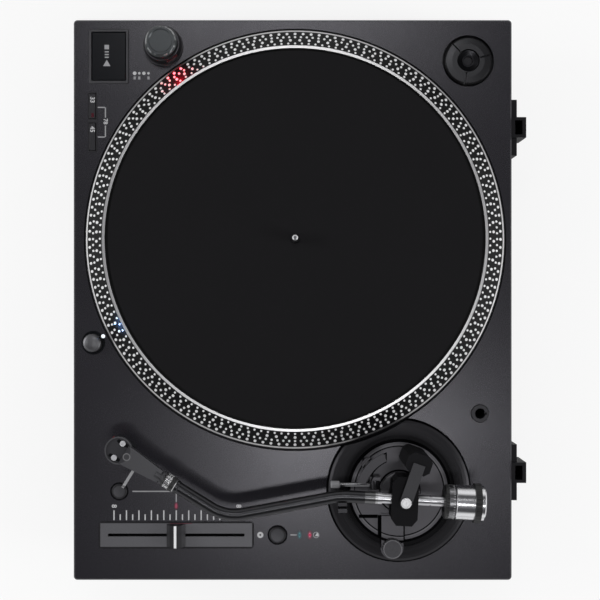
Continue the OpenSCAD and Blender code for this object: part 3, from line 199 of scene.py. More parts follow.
tone = math_node(GRAIN, "ADD", math_node(GRAIN, "MULTIPLY", speck_off, grain_in.outputs["Speckle"]),
                 math_node(GRAIN, "MULTIPLY", cloud_off, grain_in.outputs["Clouds"]))
tone = math_node(GRAIN, "ADD", math_node(GRAIN, "MULTIPLY", tone, 2.0), 1.0)
tinted = GRAIN.nodes.new("ShaderNodeVectorMath")
tinted.operation = "SCALE"
GRAIN.links.new(grain_in.outputs["Color"], tinted.inputs[0])
GRAIN.links.new(tone, tinted.inputs["Scale"])
GRAIN.links.new(tinted.outputs[0], grain_out.inputs["Color"])
uneven = math_node(GRAIN, "MULTIPLY", math_node(GRAIN, "ADD", cloud_off, speck_off),
                   grain_in.outputs["Spread"])
GRAIN.links.new(math_node(GRAIN, "ADD", uneven, grain_in.outputs["Roughness"]), grain_out.inputs["Roughness"])
GRAIN.links.new(speck.outputs["Fac"], grain_out.inputs["Height"])


def set_sockets(node, **values):
    """Sets a node's own sockets by name, with _ for a space."""
    for socket, value in values.items():
        node.inputs[socket.replace("_", " ")].default_value = value


# Dark paint and plastic have a faintly violet gloss
COOL_SHEEN = (0.94, 0.925, 1.0, 1)


def grained(name, colour, roughness, scale=900, speckle=0.15, clouds=0.08, spread=0.08, depth=0.02, **finish):
    """A material whose colour, roughness and relief come from the fine grain; depth is in mm."""
    material = bpy.data.materials.new(name)
    material.use_nodes = True
    nodes, links = material.node_tree.nodes, material.node_tree.links
    shader = nodes["Principled BSDF"]
    group = nodes.new("ShaderNodeGroup")
    group.node_tree = GRAIN
    group.name = "grain"
    set_sockets(group, Color=(*colour, 1), Scale=scale, Speckle=speckle, Clouds=clouds, Roughness=roughness,
                Spread=spread)
    links.new(group.outputs["Color"], shader.inputs["Base Color"])
    links.new(group.outputs["Roughness"], shader.inputs["Roughness"])
    if depth:
        relief = nodes.new("ShaderNodeBump")
        set_sockets(relief, Strength=0.5, Distance=depth * MM)
        links.new(group.outputs["Height"], relief.inputs["Height"])
        links.new(relief.outputs["Normal"], shader.inputs["Normal"])
    set_sockets(shader, **{"Specular_Tint": COOL_SHEEN, **finish})
    return material


def dress(material, *names):
    """Gives CAD nodes their material."""
    for name in names:
        for place in frame["nodes"][name].material_slots:
            place.material = material


def place_in(material):
    """The place on the object, in metres, as X, Y and Z sockets."""
    place = material.node_tree.nodes.new("ShaderNodeTexCoord")
    split = material.node_tree.nodes.new("ShaderNodeSeparateXYZ")
    material.node_tree.links.new(place.outputs["Object"], split.inputs[0])
    return split.outputs


def radius_in(material, centre):
    """The level distance from an upright axis as a socket."""
    tree = material.node_tree
    place = tree.nodes.new("ShaderNodeTexCoord")
    offset = tree.nodes.new("ShaderNodeVectorMath")
    offset.operation = "SUBTRACT"
    offset.inputs[1].default_value = centre
    flat = tree.nodes.new("ShaderNodeVectorMath")
    flat.operation = "MULTIPLY"
    flat.inputs[1].default_value = (1, 1, 0)
    reach = tree.nodes.new("ShaderNodeVectorMath")
    reach.operation = "LENGTH"
    tree.links.new(place.outputs["Object"], offset.inputs[0])
    tree.links.new(offset.outputs[0], flat.inputs[0])
    tree.links.new(flat.outputs[0], reach.inputs[0])
    return reach.outputs["Value"]


# Beyond the player on every side, for a zone with one open end; and the soft edge of a sharp border
FAR = 1.0
SHARP = 0.1 * MM


def zone(material, socket, low, high, soft=SHARP):
    """A mask from 0 to 1 where a coordinate lies between low and high, with soft edges."""
    tree = material.node_tree
    rise = math_node(tree, "DIVIDE", math_node(tree, "SUBTRACT", socket, low), soft, clamp=True)
    fall = math_node(tree, "DIVIDE", math_node(tree, "SUBTRACT", high, socket), soft, clamp=True)
    return math_node(tree, "MULTIPLY", rise, fall)


def overlap(material, first, *others):
    """Where several masks are all 1."""
    for other in others:
        first = math_node(material.node_tree, "MULTIPLY", first, other)
    return first


# The Mix node's two inputs and its result, for a colour and for a number
MIX_SOCKETS = {"RGBA": (6, 7, 2), "FLOAT": (2, 3, 0)}


def repaint(material, mask, colour, roughness=None, metallic=None):
    """Lays another colour, roughness or metal over a material where a mask is 1."""
    tree = material.node_tree
    shader = tree.nodes["Principled BSDF"]
    for name, value in (("Base Color", colour), ("Roughness", roughness), ("Metallic", metallic)):
        if value is None:
            continue
        mix = tree.nodes.new("ShaderNodeMix")
        mix.data_type = "RGBA" if name == "Base Color" else "FLOAT"
        under, over, result = MIX_SOCKETS[mix.data_type]
        before = shader.inputs[name]
        if before.is_linked:
            tree.links.new(before.links[0].from_socket, mix.inputs[under])
        else:
            mix.inputs[under].default_value = before.default_value
        mix.inputs[over].default_value = (*value, 1) if name == "Base Color" else value
        tree.links.new(mask, mix.inputs["Factor"])
        tree.links.new(mix.outputs[result], before)


charcoal_paint = grained("charcoal paint", (0.0110, 0.0104, 0.0132), 0.27, scale=1500, speckle=0.10, clouds=0.05,
                         depth=0.015, Specular_IOR_Level=0.53)
tub_compound = grained("tub compound", (0.010, 0.010, 0.0105), 0.62, scale=1100, depth=0.05)
zinc_steel = grained("zinc plated steel", (0.52, 0.52, 0.54), 0.35, scale=700, clouds=0.2, Metallic=1.0)
# Inside the recesses of the deck, below its top face, the paint is darkened and dulled as painted shade
WALL = 3 * MM
paint_place = place_in(charcoal_paint)
painted_recess_shade = overlap(charcoal_paint, zone(charcoal_paint, paint_place["Z"], -FAR, DECK - 0.5 * MM),
                   zone(charcoal_paint, paint_place["X"], deck_low.x + WALL, deck_high.x - WALL),
                   zone(charcoal_paint, paint_place["Y"], deck_low.y + WALL, deck_high.y - WALL))
repaint(charcoal_paint, painted_recess_shade, (0.0025, 0.0025, 0.0028), 0.6)
dress(charcoal_paint, "top_plate")
dress(tub_compound, "base_tub")
dress(zinc_steel, "casing_screws")

# ---- Feet
# Four screw-adjusted isolators: a ribbed rubber cup on a threaded stud.
# The rubber is matt black with a dusty bloom.
dress(grained("foot rubber", (0.012, 0.012, 0.013), 0.72, scale=600, speckle=0.25, clouds=0.3, depth=0.06),
      "foot_front_left", "foot_back_left", "foot_front_right", "foot_back_right")


# ---- Motor
# Twelve coils on a green board under the platter, round a brass bearing, and the magnet that they turn.
# The coils are enamelled copper.
solder_mask = dict(scale=500, speckle=0.15, Coat_Weight=0.4)
dress(grained("solder mask", (0.010, 0.085, 0.040), 0.30, **solder_mask), "circuit_boards")
BOARD_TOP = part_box("motor_stator")[0].z + 2.2 * MM
wound_board = grained("wound board", (0.010, 0.085, 0.040), 0.30, **solder_mask)
coils = zone(wound_board, place_in(wound_board)["Z"], BOARD_TOP, FAR, 0.2 * MM)
repaint(wound_board, coils, (0.55, 0.20, 0.07), 0.34, 1.0)
dress(wound_board, "motor_stator")
dress(grained("bearing brass", (0.60, 0.42, 0.16), 0.28, scale=900, Metallic=1.0), "motor_bearing")
dress(grained("sintered magnet", (0.055, 0.055, 0.058), 0.48, scale=1800, speckle=0.3, Metallic=0.6), "rotor_magnet")

# ---- Platter
# A turned casting: black, with two rings left bright, one on the rim and one round the mat.
# The lathe leaves fine circular lines that catch the light.
TURNED, turned_in, turned_out = new_group(
    "turned lines",
    [("Vector", "NodeSocketVector", (0, 0, 0)), ("Spacing", "NodeSocketFloat", 0.0004),
     ("Roughness", "NodeSocketFloat", 0.25), ("Spread", "NodeSocketFloat", 0.1)],
    [("Radius", "NodeSocketFloat"), ("Along", "NodeSocketFloat"), ("Roughness", "NodeSocketFloat"),
     ("Height", "NodeSocketFloat")])
flatten = TURNED.nodes.new("ShaderNodeVectorMath")
flatten.operation = "MULTIPLY"
flatten.inputs[1].default_value = (1, 1, 0)
reach = TURNED.nodes.new("ShaderNodeVectorMath")
reach.operation = "LENGTH"
split = TURNED.nodes.new("ShaderNodeSeparateXYZ")
groove = TURNED.nodes.new("ShaderNodeTexNoise")
groove.noise_dimensions = "1D"
set_sockets(groove, Detail=4, Scale=1.0)
TURNED.links.new(turned_in.outputs["Vector"], flatten.inputs[0])
TURNED.links.new(flatten.outputs[0], reach.inputs[0])
TURNED.links.new(turned_in.outputs["Vector"], split.inputs[0])
tool_path = math_node(TURNED, "ADD", reach.outputs["Value"], split.outputs["Z"])
TURNED.links.new(math_node(TURNED, "DIVIDE", tool_path, turned_in.outputs["Spacing"]), groove.inputs["W"])
TURNED.links.new(reach.outputs["Value"], turned_out.inputs["Radius"])
TURNED.links.new(split.outputs["Z"], turned_out.inputs["Along"])
uneven = math_node(TURNED, "MULTIPLY", math_node(TURNED, "SUBTRACT", groove.outputs["Fac"], 0.5),
                   turned_in.outputs["Spread"])
TURNED.links.new(math_node(TURNED, "ADD", turned_in.outputs["Roughness"], uneven),
                 turned_out.inputs["Roughness"])
TURNED.links.new(groove.outputs["Fac"], turned_out.inputs["Height"])


def turned(name, colour, roughness, centre, turn=(0, 0, 0), spacing=0.4, spread=0.12, depth=0.01, **finish):
    """Lathe-turned metal: centre is a point of its axis, turn lays the axis down; spacing and depth are in mm."""
    material = bpy.data.materials.new(name)
    material.use_nodes = True
    nodes, links = material.node_tree.nodes, material.node_tree.links
    shader = nodes["Principled BSDF"]
    place = nodes.new("ShaderNodeTexCoord")
    move = nodes.new("ShaderNodeMapping")
    move.vector_type = "TEXTURE"
    set_sockets(move, Location=centre, Rotation=turn)
    group = nodes.new("ShaderNodeGroup")
    group.node_tree = TURNED
    group.name = "lines"
    set_sockets(group, Spacing=spacing * MM, Roughness=roughness, Spread=spread)
    relief = nodes.new("ShaderNodeBump")
    set_sockets(relief, Strength=0.4, Distance=depth * MM)
    links.new(place.outputs["Object"], move.inputs["Vector"])
    links.new(move.outputs["Vector"], group.inputs["Vector"])
    links.new(group.outputs["Roughness"], shader.inputs["Roughness"])
    links.new(group.outputs["Height"], relief.inputs["Height"])
    links.new(relief.outputs["Normal"], shader.inputs["Normal"])
    set_sockets(shader, **{"Base_Color": (*colour, 1), "Metallic": 1.0, **finish})
    return material


def lines(material):
    """The outputs of a turned material's line group."""
    return material.node_tree.nodes["lines"].outputs


spindle_low, spindle_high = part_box("spindle")
HUB = (spindle_low + spindle_high) / 2
on_hub = (HUB.x, HUB.y, 0)
platter_low, platter_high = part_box("platter")
PLATTER_R = (platter_high.x - platter_low.x) / 2
BEVEL_OUT = PLATTER_R - 1.6 * MM
BEVEL_IN = BEVEL_OUT - 13.2 * MM
BEVEL_FOOT = platter_high.z - 14.6 * MM
BEVEL_TOP = platter_high.z - 1.2 * MM
BRIGHT = (0.60, 0.595, 0.60)
casting = turned("turned black casting", (0.0030, 0.0030, 0.0034), 0.46, on_hub, spacing=0.5, Metallic=0.0,
                 Specular_IOR_Level=0.14)
rim_ring = zone(casting, lines(casting)["Radius"], BEVEL_OUT + 0.3 * MM, FAR)
mat_ring = zone(casting, lines(casting)["Radius"], BEVEL_IN - 2.5 * MM, BEVEL_IN - 0.1 * MM)
top_only = zone(casting, place_in(casting)["Z"], BEVEL_TOP - 0.3 * MM, FAR)
repaint(casting, rim_ring, BRIGHT, 0.36, 1.0)
repaint(casting, overlap(casting, mat_ring, top_only), BRIGHT, 0.34, 1.0)
dress(casting, "platter")
dress(turned("polished spindle", (0.80, 0.80, 0.82), 0.10, on_hub), "spindle")

# ---- Strobe dots
# Four rows of white dots on the bevel, each row counted for one speed and mains frequency.
# They are cast studs with an enamel that stands a little proud.
white_enamel = grained("white enamel", (0.80, 0.80, 0.81), 0.35, scale=800, speckle=0.04, clouds=0.04)


def new_piece(name, shape, material, body, smooth=False):
    """Makes a piece from a bmesh that is already in its place, and lets it ride on a body."""
    data = bpy.data.meshes.new(name)
    shape.to_mesh(data)
    shape.free()
    if smooth:
        data.shade_smooth()
        data.set_sharp_from_angle(angle=math.radians(38))
    data.materials.append(material)
    piece = bpy.data.objects.new(name, data)
    scene.collection.objects.link(piece)
    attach(piece, body)


BEVEL_TILT = math.atan2(BEVEL_TOP - BEVEL_FOOT, BEVEL_OUT - BEVEL_IN)
# Each row's radius, its number of dots and the radius of a dot, in mm
DOT_ROWS = ((163.5, 160, 1.30), (160.2, 216, 1.05), (157.0, 133, 1.30), (153.7, 180, 1.00))
DOT_TAPER = 0.86
DOT_HEIGHT = 0.5 * MM
dots = bmesh.new()
for row_radius, count, dot_radius in DOT_ROWS:
    bevel_height = BEVEL_FOOT + (BEVEL_OUT - row_radius * MM) * math.tan(BEVEL_TILT)
    for number in range(count):
        place = (Matrix.Translation((HUB.x, HUB.y, 0))
                 @ Matrix.Rotation(2 * math.pi * number / count, 4, "Z")
                 @ Matrix.Translation((row_radius * MM, 0, bevel_height))
                 @ Matrix.Rotation(BEVEL_TILT, 4, "Y")
                 @ Matrix.Diagonal((1 / math.cos(BEVEL_TILT), 1, 1, 1)))
        bmesh.ops.create_cone(dots, cap_ends=True, segments=10, radius1=dot_radius * MM,
                              radius2=dot_radius * DOT_TAPER * MM, depth=DOT_HEIGHT, matrix=place)
new_piece("strobe_dots", dots, white_enamel, "platter")

# ---- Slipmat
# A disc of pressed felt that a record lies on, left plain.
# The fibres make a soft, even nap with a slight sheen.
dress(grained("pressed felt", (0.0082, 0.0080, 0.0086), 0.86, scale=2600, speckle=0.5, clouds=0.12, depth=0.15,
              Specular_IOR_Level=0.12), "slipmat")

# ---- Start and stop button
# A polished black key in a recessed frame, with its two signs printed along it.
# The frame is moulded, and its edge above the deck is painted a little lighter as a highlight.
gloss_black = grained("polished black", (0.0036, 0.0044, 0.0052), 0.24, scale=600, speckle=0.05, spread=0.03,
                      depth=0, Specular_IOR_Level=0.16)
satin_black = grained("satin black", (0.0090, 0.0090, 0.0098), 0.42, scale=1200, depth=0.03)
dress(gloss_black, "start_stop_button")
frame_plastic = grained("frame plastic", (0.0120, 0.0120, 0.0130), 0.40, scale=1200, depth=0.03)
# Painted highlight on the frame's edge, above the deck
frame_edge_highlight = zone(frame_plastic, place_in(frame_plastic)["Z"], DECK + 0.05 * MM, FAR, 0.4 * MM)
repaint(frame_plastic, frame_edge_highlight, (0.032, 0.032, 0.034), 0.38)
dress(frame_plastic, "start_stop_bezel")
white_ink = grained("white ink", (0.50, 0.50, 0.51), 0.55, scale=1500, speckle=0.1, depth=0.005)
grey_ink = grained("grey ink", (0.30, 0.30, 0.31), 0.55, scale=1500, speckle=0.1, depth=0.005)
red_lens_and_glow = grained("red lens and painted glow", (0.10, 0.012, 0.025), 0.5, scale=1500, speckle=0.1, depth=0.005)
INK = 0.04 * MM


def ink_bar(shape, x0, x1, y0, y1, z):
    """A printed bar on a level face."""
    bmesh.ops.create_cube(shape, size=1, matrix=Matrix.Translation(((x0 + x1) / 2, (y0 + y1) / 2, z + INK / 2))
                          @ Matrix.Diagonal((abs(x1 - x0), abs(y1 - y0), INK, 1)))


def ink_disc(shape, x, y, z, radius, segments=20, turn=0, stretch=1, thick=INK):
    """A printed dot; three segments make an arrowhead, and a stretch makes an oval."""
    bmesh.ops.create_cone(shape, cap_ends=True, segments=segments, radius1=radius, radius2=radius, depth=thick,
                          matrix=Matrix.Translation((x, y, z + thick / 2)) @ Matrix.Rotation(turn, 4, "Z")
                          @ Matrix.Diagonal((stretch, 1, 1, 1)))


def spin_section(shape, section, centre, axis, steps):
    """Spins a closed row of points into a ring."""
    corners = [shape.verts.new(point) for point in section]
    edges = [shape.edges.new((corners[k], corners[(k + 1) % len(corners)])) for k in range(len(corners))]
    bmesh.ops.spin(shape, geom=corners + edges, cent=centre, axis=axis, angle=2 * math.pi, steps=steps,
                   use_merge=True)
    bmesh.ops.recalc_face_normals(shape, faces=shape.faces)


def ink_ring(shape, x, y, z, radius, width):
    """A printed ring, spun from a small rectangle."""
    spin_section(shape, [(x + radius + dx, y, z + dz) for dx, dz in ((0, 0), (width, 0), (width, INK), (0, INK))],
                 (x, y, z), (0, 0, 1), 28)


def ink_text(shape, text, size, place, bold=0.12 * MM):
    """Printed figures, centred on a place that is a matrix."""
    curve = bpy.data.curves.new(text, "FONT")
    curve.body = text
    curve.size = size
    curve.align_x = "CENTER"
    curve.align_y = "CENTER"
    curve.extrude = INK / 2
    curve.offset = bold
    curve.resolution_u = 3
    holder = bpy.data.objects.new(text, curve)
    scene.collection.objects.link(holder)
    outline = bpy.data.meshes.new_from_object(holder.evaluated_get(bpy.context.evaluated_depsgraph_get()))
    outline.transform(place)
    shape.from_mesh(outline)
    bpy.data.objects.remove(holder)
    bpy.data.meshes.remove(outline)


def centre_of(node):
    """Middle of a CAD node's box."""
    low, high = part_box(node)
    return (low + high) / 2


start_key = centre_of("start_stop_button")
start_key_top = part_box("start_stop_button")[1].z
sign_y = start_key.y - 1.6 * MM
signs = bmesh.new()
# A square for stop, three strokes and an arrowhead for start, each bar as x0, x1 and half its width, in mm
for x0, x1, half in ((-9.2, -5.6, 1.8), (-4.1, -3.1, 1.6), (-1.9, -0.9, 1.6), (0.3, 1.3, 1.6)):
    ink_bar(signs, start_key.x + x0 * MM, start_key.x + x1 * MM, sign_y - half * MM, sign_y + half * MM,
            start_key_top)
ink_disc(signs, start_key.x + 6.2 * MM, sign_y, start_key_top, 3.4 * MM, segments=3, turn=math.radians(90))
new_piece("start_stop_signs", signs, grey_ink, "start_stop_button")

# ---- Power dial and strobe tower
# A turned metal dial, anodised dark with a bright cut edge that noise breaks into painted glints, on a round tower.
# A red lamp behind the tower's window lights a patch of the dots.
dial = centre_of("power_dial")
on_dial = (dial.x, dial.y, 0)
DIAL_R = dial.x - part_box("power_dial")[0].x
anodised = turned("dark anodised dial", (0.056, 0.060, 0.063), 0.34, on_dial, spacing=0.3)
cut_edge_and_glints = zone(anodised, lines(anodised)["Radius"], DIAL_R - 1.7 * MM, DIAL_R - 0.5 * MM)
# Noise that breaks the bright cut edge into painted glints
painted_glint_noise = anodised.node_tree.nodes.new("ShaderNodeTexNoise")
painted_glint_noise.inputs["Scale"].default_value = 320
dial_place = anodised.node_tree.nodes["Texture Coordinate"].outputs["Object"]
anodised.node_tree.links.new(dial_place, painted_glint_noise.inputs["Vector"])
cut_edge_and_glints = overlap(anodised, cut_edge_and_glints, zone(anodised, painted_glint_noise.outputs["Fac"], 0.40, 1, 0.2))
repaint(anodised, cut_edge_and_glints, (0.34, 0.345, 0.35), 0.30)
dress(anodised, "power_dial")
dress(grained("dark enamel", (0.014, 0.0135, 0.0150), 0.34, scale=1300), "strobe_tower")


# All the lenses are of one clear plastic; each is tinted by where it lies, and glows a little by itself
clear = dict(scale=400, speckle=0.05, depth=0)
quartz = centre_of("quartz_button")
target = centre_of("target_light")
lenses = grained("lamp lenses", (0.10, 0.003, 0.006), 0.2, Emission_Strength=1.0, **clear)
lens_place = place_in(lenses)
by_quartz = zone(lenses, lens_place["X"], quartz.x - 20 * MM, FAR)
target_lens = zone(lenses, lens_place["X"], dial.x + 60 * MM, quartz.x - 60 * MM)
teal_lens = overlap(lenses, by_quartz, zone(lenses, lens_place["Y"], quartz.y, quartz.y + 22 * MM))
red_lens = overlap(lenses, by_quartz, zone(lenses, lens_place["Y"], quartz.y + 22 * MM, quartz.y + 30 * MM))
lens_links = lenses.node_tree.links
glow_sum = None
# Each lens with its tint and how strongly it glows
for mask, tint, strength in ((target_lens, (0.80, 0.85, 0.90), 0.9), (teal_lens, (0.010, 0.075, 0.090), 0.40),
                             (red_lens, (0.30, 0.010, 0.045), 0.64)):
    repaint(lenses, mask, tint)
    glow = lenses.node_tree.nodes.new("ShaderNodeVectorMath")
    glow.operation = "SCALE"
    glow.inputs[0].default_value = [channel * strength for channel in tint]
    lens_links.new(mask, glow.inputs["Scale"])
    if glow_sum:
        both = lenses.node_tree.nodes.new("ShaderNodeVectorMath")
        lens_links.new(glow_sum, both.inputs[0])
        lens_links.new(glow.outputs[0], both.inputs[1])
        glow_sum = both.outputs[0]
    else:
        glow_sum = glow.outputs[0]
lens_links.new(glow_sum, lenses.node_tree.nodes["Principled BSDF"].inputs["Emission Color"])
dress(lenses, "lamp_lenses")


def lamp_beam(name, place, aim, colour, power, angle):
    """A small spot that stands for a lamp's own light on the platter."""
    beam = bpy.data.lights.new(name, "SPOT")
    beam.energy = power
    beam.color = colour
    beam.spot_size = math.radians(angle)
    beam.spot_blend = 0.4
    beam.shadow_soft_size = 2 * MM
    hang(beam, place, aim)


def on_platter(angle, radius, height):
    """A point of the platter at an angle from the right towards the back."""
    return Vector((HUB.x + radius * math.cos(angle), HUB.y + radius * math.sin(angle), height))


STROBE_ANGLE = math.radians(-144.104)
lamp_beam("strobe_beam", on_platter(STROBE_ANGLE, PLATTER_R + 2 * MM, BEVEL_TOP - 1 * MM),
          on_platter(STROBE_ANGLE, BEVEL_OUT - 7 * MM, BEVEL_FOOT + 7 * MM), (1.0, 0.0, 0.02), 0.040, 118)

# The dot key beside the dial: a dot for each row of the platter, three of them with a small plate.
# The deck's printing gathers in marks, in white, and in pale_marks, in grey.
marks, pale_marks = bmesh.new(), bmesh.new()
KEY_SPACING = 3.7 * MM
key_dots = Vector((dial.x + 21.6 * MM, dial.y - 23.0 * MM, DECK))
for number, (radius, has_plate) in enumerate(((1.5, True), (1.0, True), (1.4, False), (1.0, True))):
    y = key_dots.y + number * KEY_SPACING
    ink_disc(marks, key_dots.x, y, DECK, radius * MM)
    if has_plate:
        ink_bar(pale_marks, key_dots.x + 2.6 * MM, key_dots.x + 5.0 * MM, y - 0.9 * MM, y + 0.9 * MM, DECK)

# ---- Speed buttons
# Two narrow keys in one strip; a printed bracket joins them for the third speed.
# A small red window glows at the end of the chosen key.
dress(satin_black, "speed_bezel", "speed_button_33", "speed_button_45")
for node, text in (("speed_button_33", "33"), ("speed_button_45", "45")):
    low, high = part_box(node)
    figures = bmesh.new()
    ink_text(figures, text, 5.0 * MM, Matrix.Translation((low.x + 5.0 * MM, (low.y + high.y) / 2, high.z + INK / 2)))
    new_piece("figures_" + text, figures, white_ink, node)
low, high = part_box("speed_button_33")
speed_pane = bmesh.new()
ink_bar(speed_pane, high.x - 4.4 * MM, high.x - 1.0 * MM, low.y + 1.8 * MM, high.y - 1.2 * MM, high.z)
speed_glow = grained("speed window", (0.030, 0.003, 0.006), 0.15, Emission_Color=(0.30, 0.010, 0.035, 1),
                     Emission_Strength=0.08, **clear)
new_piece("speed_window", speed_pane, speed_glow, "speed_button_33")
strip = centre_of("speed_bezel")
# Half the width of a printed line
LINE = 0.5 * MM
bracket_y = strip.y + 10.4 * MM
bracket_start, bracket_end = strip.x - 11.8 * MM, strip.x + 12.0 * MM
ink_bar(pale_marks, bracket_start, strip.x - 3.6 * MM, bracket_y - LINE, bracket_y + LINE, DECK)
ink_bar(pale_marks, strip.x + 2.8 * MM, bracket_end, bracket_y - LINE, bracket_y + LINE, DECK)
for x in (bracket_start, bracket_end):
    ink_bar(pale_marks, x - LINE, x + LINE, strip.y + 4.2 * MM, bracket_y - LINE, DECK)
ink_text(marks, "78", 4.6 * MM, Matrix.Translation((strip.x - 0.5 * MM, bracket_y, DECK + INK / 2)))

# ---- Target light
# A pop-up light with a domed metal head in a black collar, and a small white lamp at its foot.
# The lamp throws a cool patch on the rim of the platter.
dress(turned("satin light head", (0.16, 0.16, 0.168), 0.44, (target.x, target.y, 0), spacing=0.3), "target_light")
dress(gloss_black, "target_collar")
TARGET_ANGLE = math.radians(-63.883)
lamp_beam("target_beam", on_platter(TARGET_ANGLE, PLATTER_R + 2 * MM, BEVEL_TOP + 2 * MM),
          on_platter(TARGET_ANGLE, BEVEL_IN, BEVEL_TOP), (0.18, 0.42, 1.0), 0.035, 66)

# ---- Pitch fader
# A slider with a white line, on a panel of satin grey metal with a narrow slot.
# The scale beside it is printed on the deck.
panel_low, panel_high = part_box("fader_panel")
panel_grey = grained("satin grey panel", (0.080, 0.080, 0.086), 0.36, scale=1400)
panel_place = place_in(panel_grey)
BORDER = 1.2 * MM
panel_face = overlap(
    panel_grey, zone(panel_grey, panel_place["X"], panel_low.x + BORDER, panel_high.x - BORDER, 2 * SHARP),
    zone(panel_grey, panel_place["Y"], panel_low.y + BORDER, panel_high.y - BORDER, 2 * SHARP))
# Round the panel's border, a dark band of painted shade stands for the gap round the panel
panel_edge_shade = math_node(panel_grey.node_tree, "SUBTRACT", 1, panel_face)
repaint(panel_grey, panel_edge_shade, (0.0018, 0.0018, 0.0020), 0.7)
dress(panel_grey, "fader_panel")
slider_low, slider_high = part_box("pitch_slider")
slider = (slider_low + slider_high) / 2
slider_plastic = grained("slider plastic", (0.020, 0.020, 0.022), 0.38, scale=1200, depth=0.03)
slider_y = place_in(slider_plastic)["Y"]
# Two darker bands along the slider, one each side of its line
for band_y in (slider.y - 3.1 * MM, slider.y + 3.1 * MM):
    dark_side_band = zone(slider_plastic, slider_y, band_y - 1.7 * MM, band_y + 1.7 * MM)
    repaint(slider_plastic, dark_side_band, (0.003, 0.003, 0.0033), 0.5)
dress(slider_plastic, "pitch_slider")
dress(satin_black, "fader_unit")
slider_mark = bmesh.new()
ink_bar(slider_mark, slider_low.x + 0.1 * MM, slider_high.x - 0.1 * MM, slider.y - 1.0 * MM, slider.y + 1.0 * MM,
        slider_high.z)
new_piece("slider_line", slider_mark, white_enamel, "pitch_slider")
scale_x = panel_low.x - BORDER
TICK_SPACING = 5 * MM
LAST_TICK = 10
for step in range(-LAST_TICK, LAST_TICK + 1):
    y = slider.y + step * TICK_SPACING
    length = (7.8 if step % 2 == 0 else 4.6) * MM
    ink_bar(marks, scale_x - length, scale_x, y - LINE, y + LINE, DECK)
for y in (slider.y - LAST_TICK * TICK_SPACING, slider.y + LAST_TICK * TICK_SPACING):
    ink_text(marks, "8", 5.6 * MM, Matrix.Translation((scale_x - 11.2 * MM, y, DECK + INK / 2)))
# The zero lamp: an oval lens in the scale, and a painted glow of its light along the panel's border; the lens's pink
# core is a painted highlight
ZERO_THICK = 0.2 * MM
zero_x = scale_x - 11.4 * MM
zero_lens_and_painted_glow = bmesh.new()
ink_disc(zero_lens_and_painted_glow, zero_x, slider.y, DECK, 1.7 * MM, stretch=1.7, thick=ZERO_THICK)
# Painted glow of the zero lamp's light along the panel's border
ink_bar(zero_lens_and_painted_glow, panel_low.x + BORDER, panel_low.x + BORDER + 0.5 * MM, slider.y - 5 * MM, slider.y + 12.6 * MM,
        panel_high.z)
new_piece("zero_lens", zero_lens_and_painted_glow, red_lens_and_glow, "casing")
# A painted highlight on the lens
zero_painted_highlight = bmesh.new()
ink_disc(zero_painted_highlight, zero_x, slider.y, DECK + ZERO_THICK, 0.85 * MM, stretch=2.3)
new_piece("zero_lens_painted_highlight", zero_painted_highlight, grained("pink painted highlight", (0.36, 0.05, 0.10), 0.3, depth=0), "casing")

# ---- Range and quartz buttons
# Two round keys in countersunk holes, with printed lines that lead from them to what they set.
# Small lamps at the end of the line show which is on.
range_key = centre_of("range_button")
for node, middle in (("range_button", range_key), ("quartz_button", quartz)):
    round_key = grained(node.replace("_", " "), (0.033, 0.033, 0.036), 0.42, scale=1200, depth=0.03)
    bevel_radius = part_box(node)[1].x - middle.x - 1.7 * MM
    repaint(round_key, zone(round_key, radius_in(round_key, middle), bevel_radius, FAR, 0.3 * MM),
            (0.003, 0.003, 0.0033), 0.5)
    dress(round_key, node)
ink_bar(pale_marks, range_key.x - LINE, range_key.x + LINE, range_key.y + 10.5 * MM, slider.y + LINE, DECK)
ink_bar(pale_marks, range_key.x + LINE, scale_x - 14.5 * MM, slider.y - LINE, slider.y + LINE, DECK)
ink_bar(pale_marks, quartz.x - LINE, quartz.x + LINE, quartz.y + 10.4 * MM, quartz.y + 15.4 * MM, DECK)
ink_ring(marks, quartz.x, quartz.y - 13.8 * MM, DECK, 0.8 * MM, 1.7 * MM)
ink_ring(pale_marks, quartz.x, quartz.y + 31.0 * MM, DECK, 1.9 * MM, 0.6 * MM)
ink_disc(marks, quartz.x, quartz.y + 31.9 * MM, DECK, 2.0 * MM, segments=3, turn=math.radians(90))
LAMP_THICK = 0.25 * MM
for name, shift, dark, bright in (("lock_lamp", 17.7, (0.005, 0.032, 0.038), (0.05, 0.25, 0.27)),
                                  ("reset_lamp", 26, (0.095, 0.004, 0.018), (0.60, 0.16, 0.25))):
    lamp_y, finish = quartz.y + shift * MM, name.replace("_", " ")
    lamp, lamp_core = bmesh.new(), bmesh.new()
    ink_disc(lamp, quartz.x, lamp_y, DECK, 1.9 * MM, stretch=1.9, thick=LAMP_THICK)
    ink_disc(lamp_core, quartz.x, lamp_y, DECK + LAMP_THICK, 0.8 * MM, stretch=2.5)
    new_piece(name, lamp, grained(finish, dark, 0.3, depth=0), "casing")
    new_piece(name + "_core", lamp_core, grained(finish + " core", bright, 0.3, depth=0), "casing")
new_piece("printed_marks", marks, white_ink, "casing")
new_piece("printed_lines", pale_marks, grey_ink, "casing")

# ---- Adapter and headshell holder
# The centre adapter for single records lies in its recess; a socket holds a spare headshell.
# The adapter is turned from solid metal, with a dark dished middle.
adapter = centre_of("adapter_45")
adapter_metal = turned("turned adapter", (0.050, 0.050, 0.053), 0.36, (adapter.x, adapter.y, 0), spacing=0.5)
dished = zone(adapter_metal, lines(adapter_metal)["Radius"], -FAR, 9.1 * MM)
repaint(adapter_metal, dished, (0.020, 0.020, 0.022), 0.30)
dress(adapter_metal, "adapter_45")
dress(satin_black, "headshell_holder")

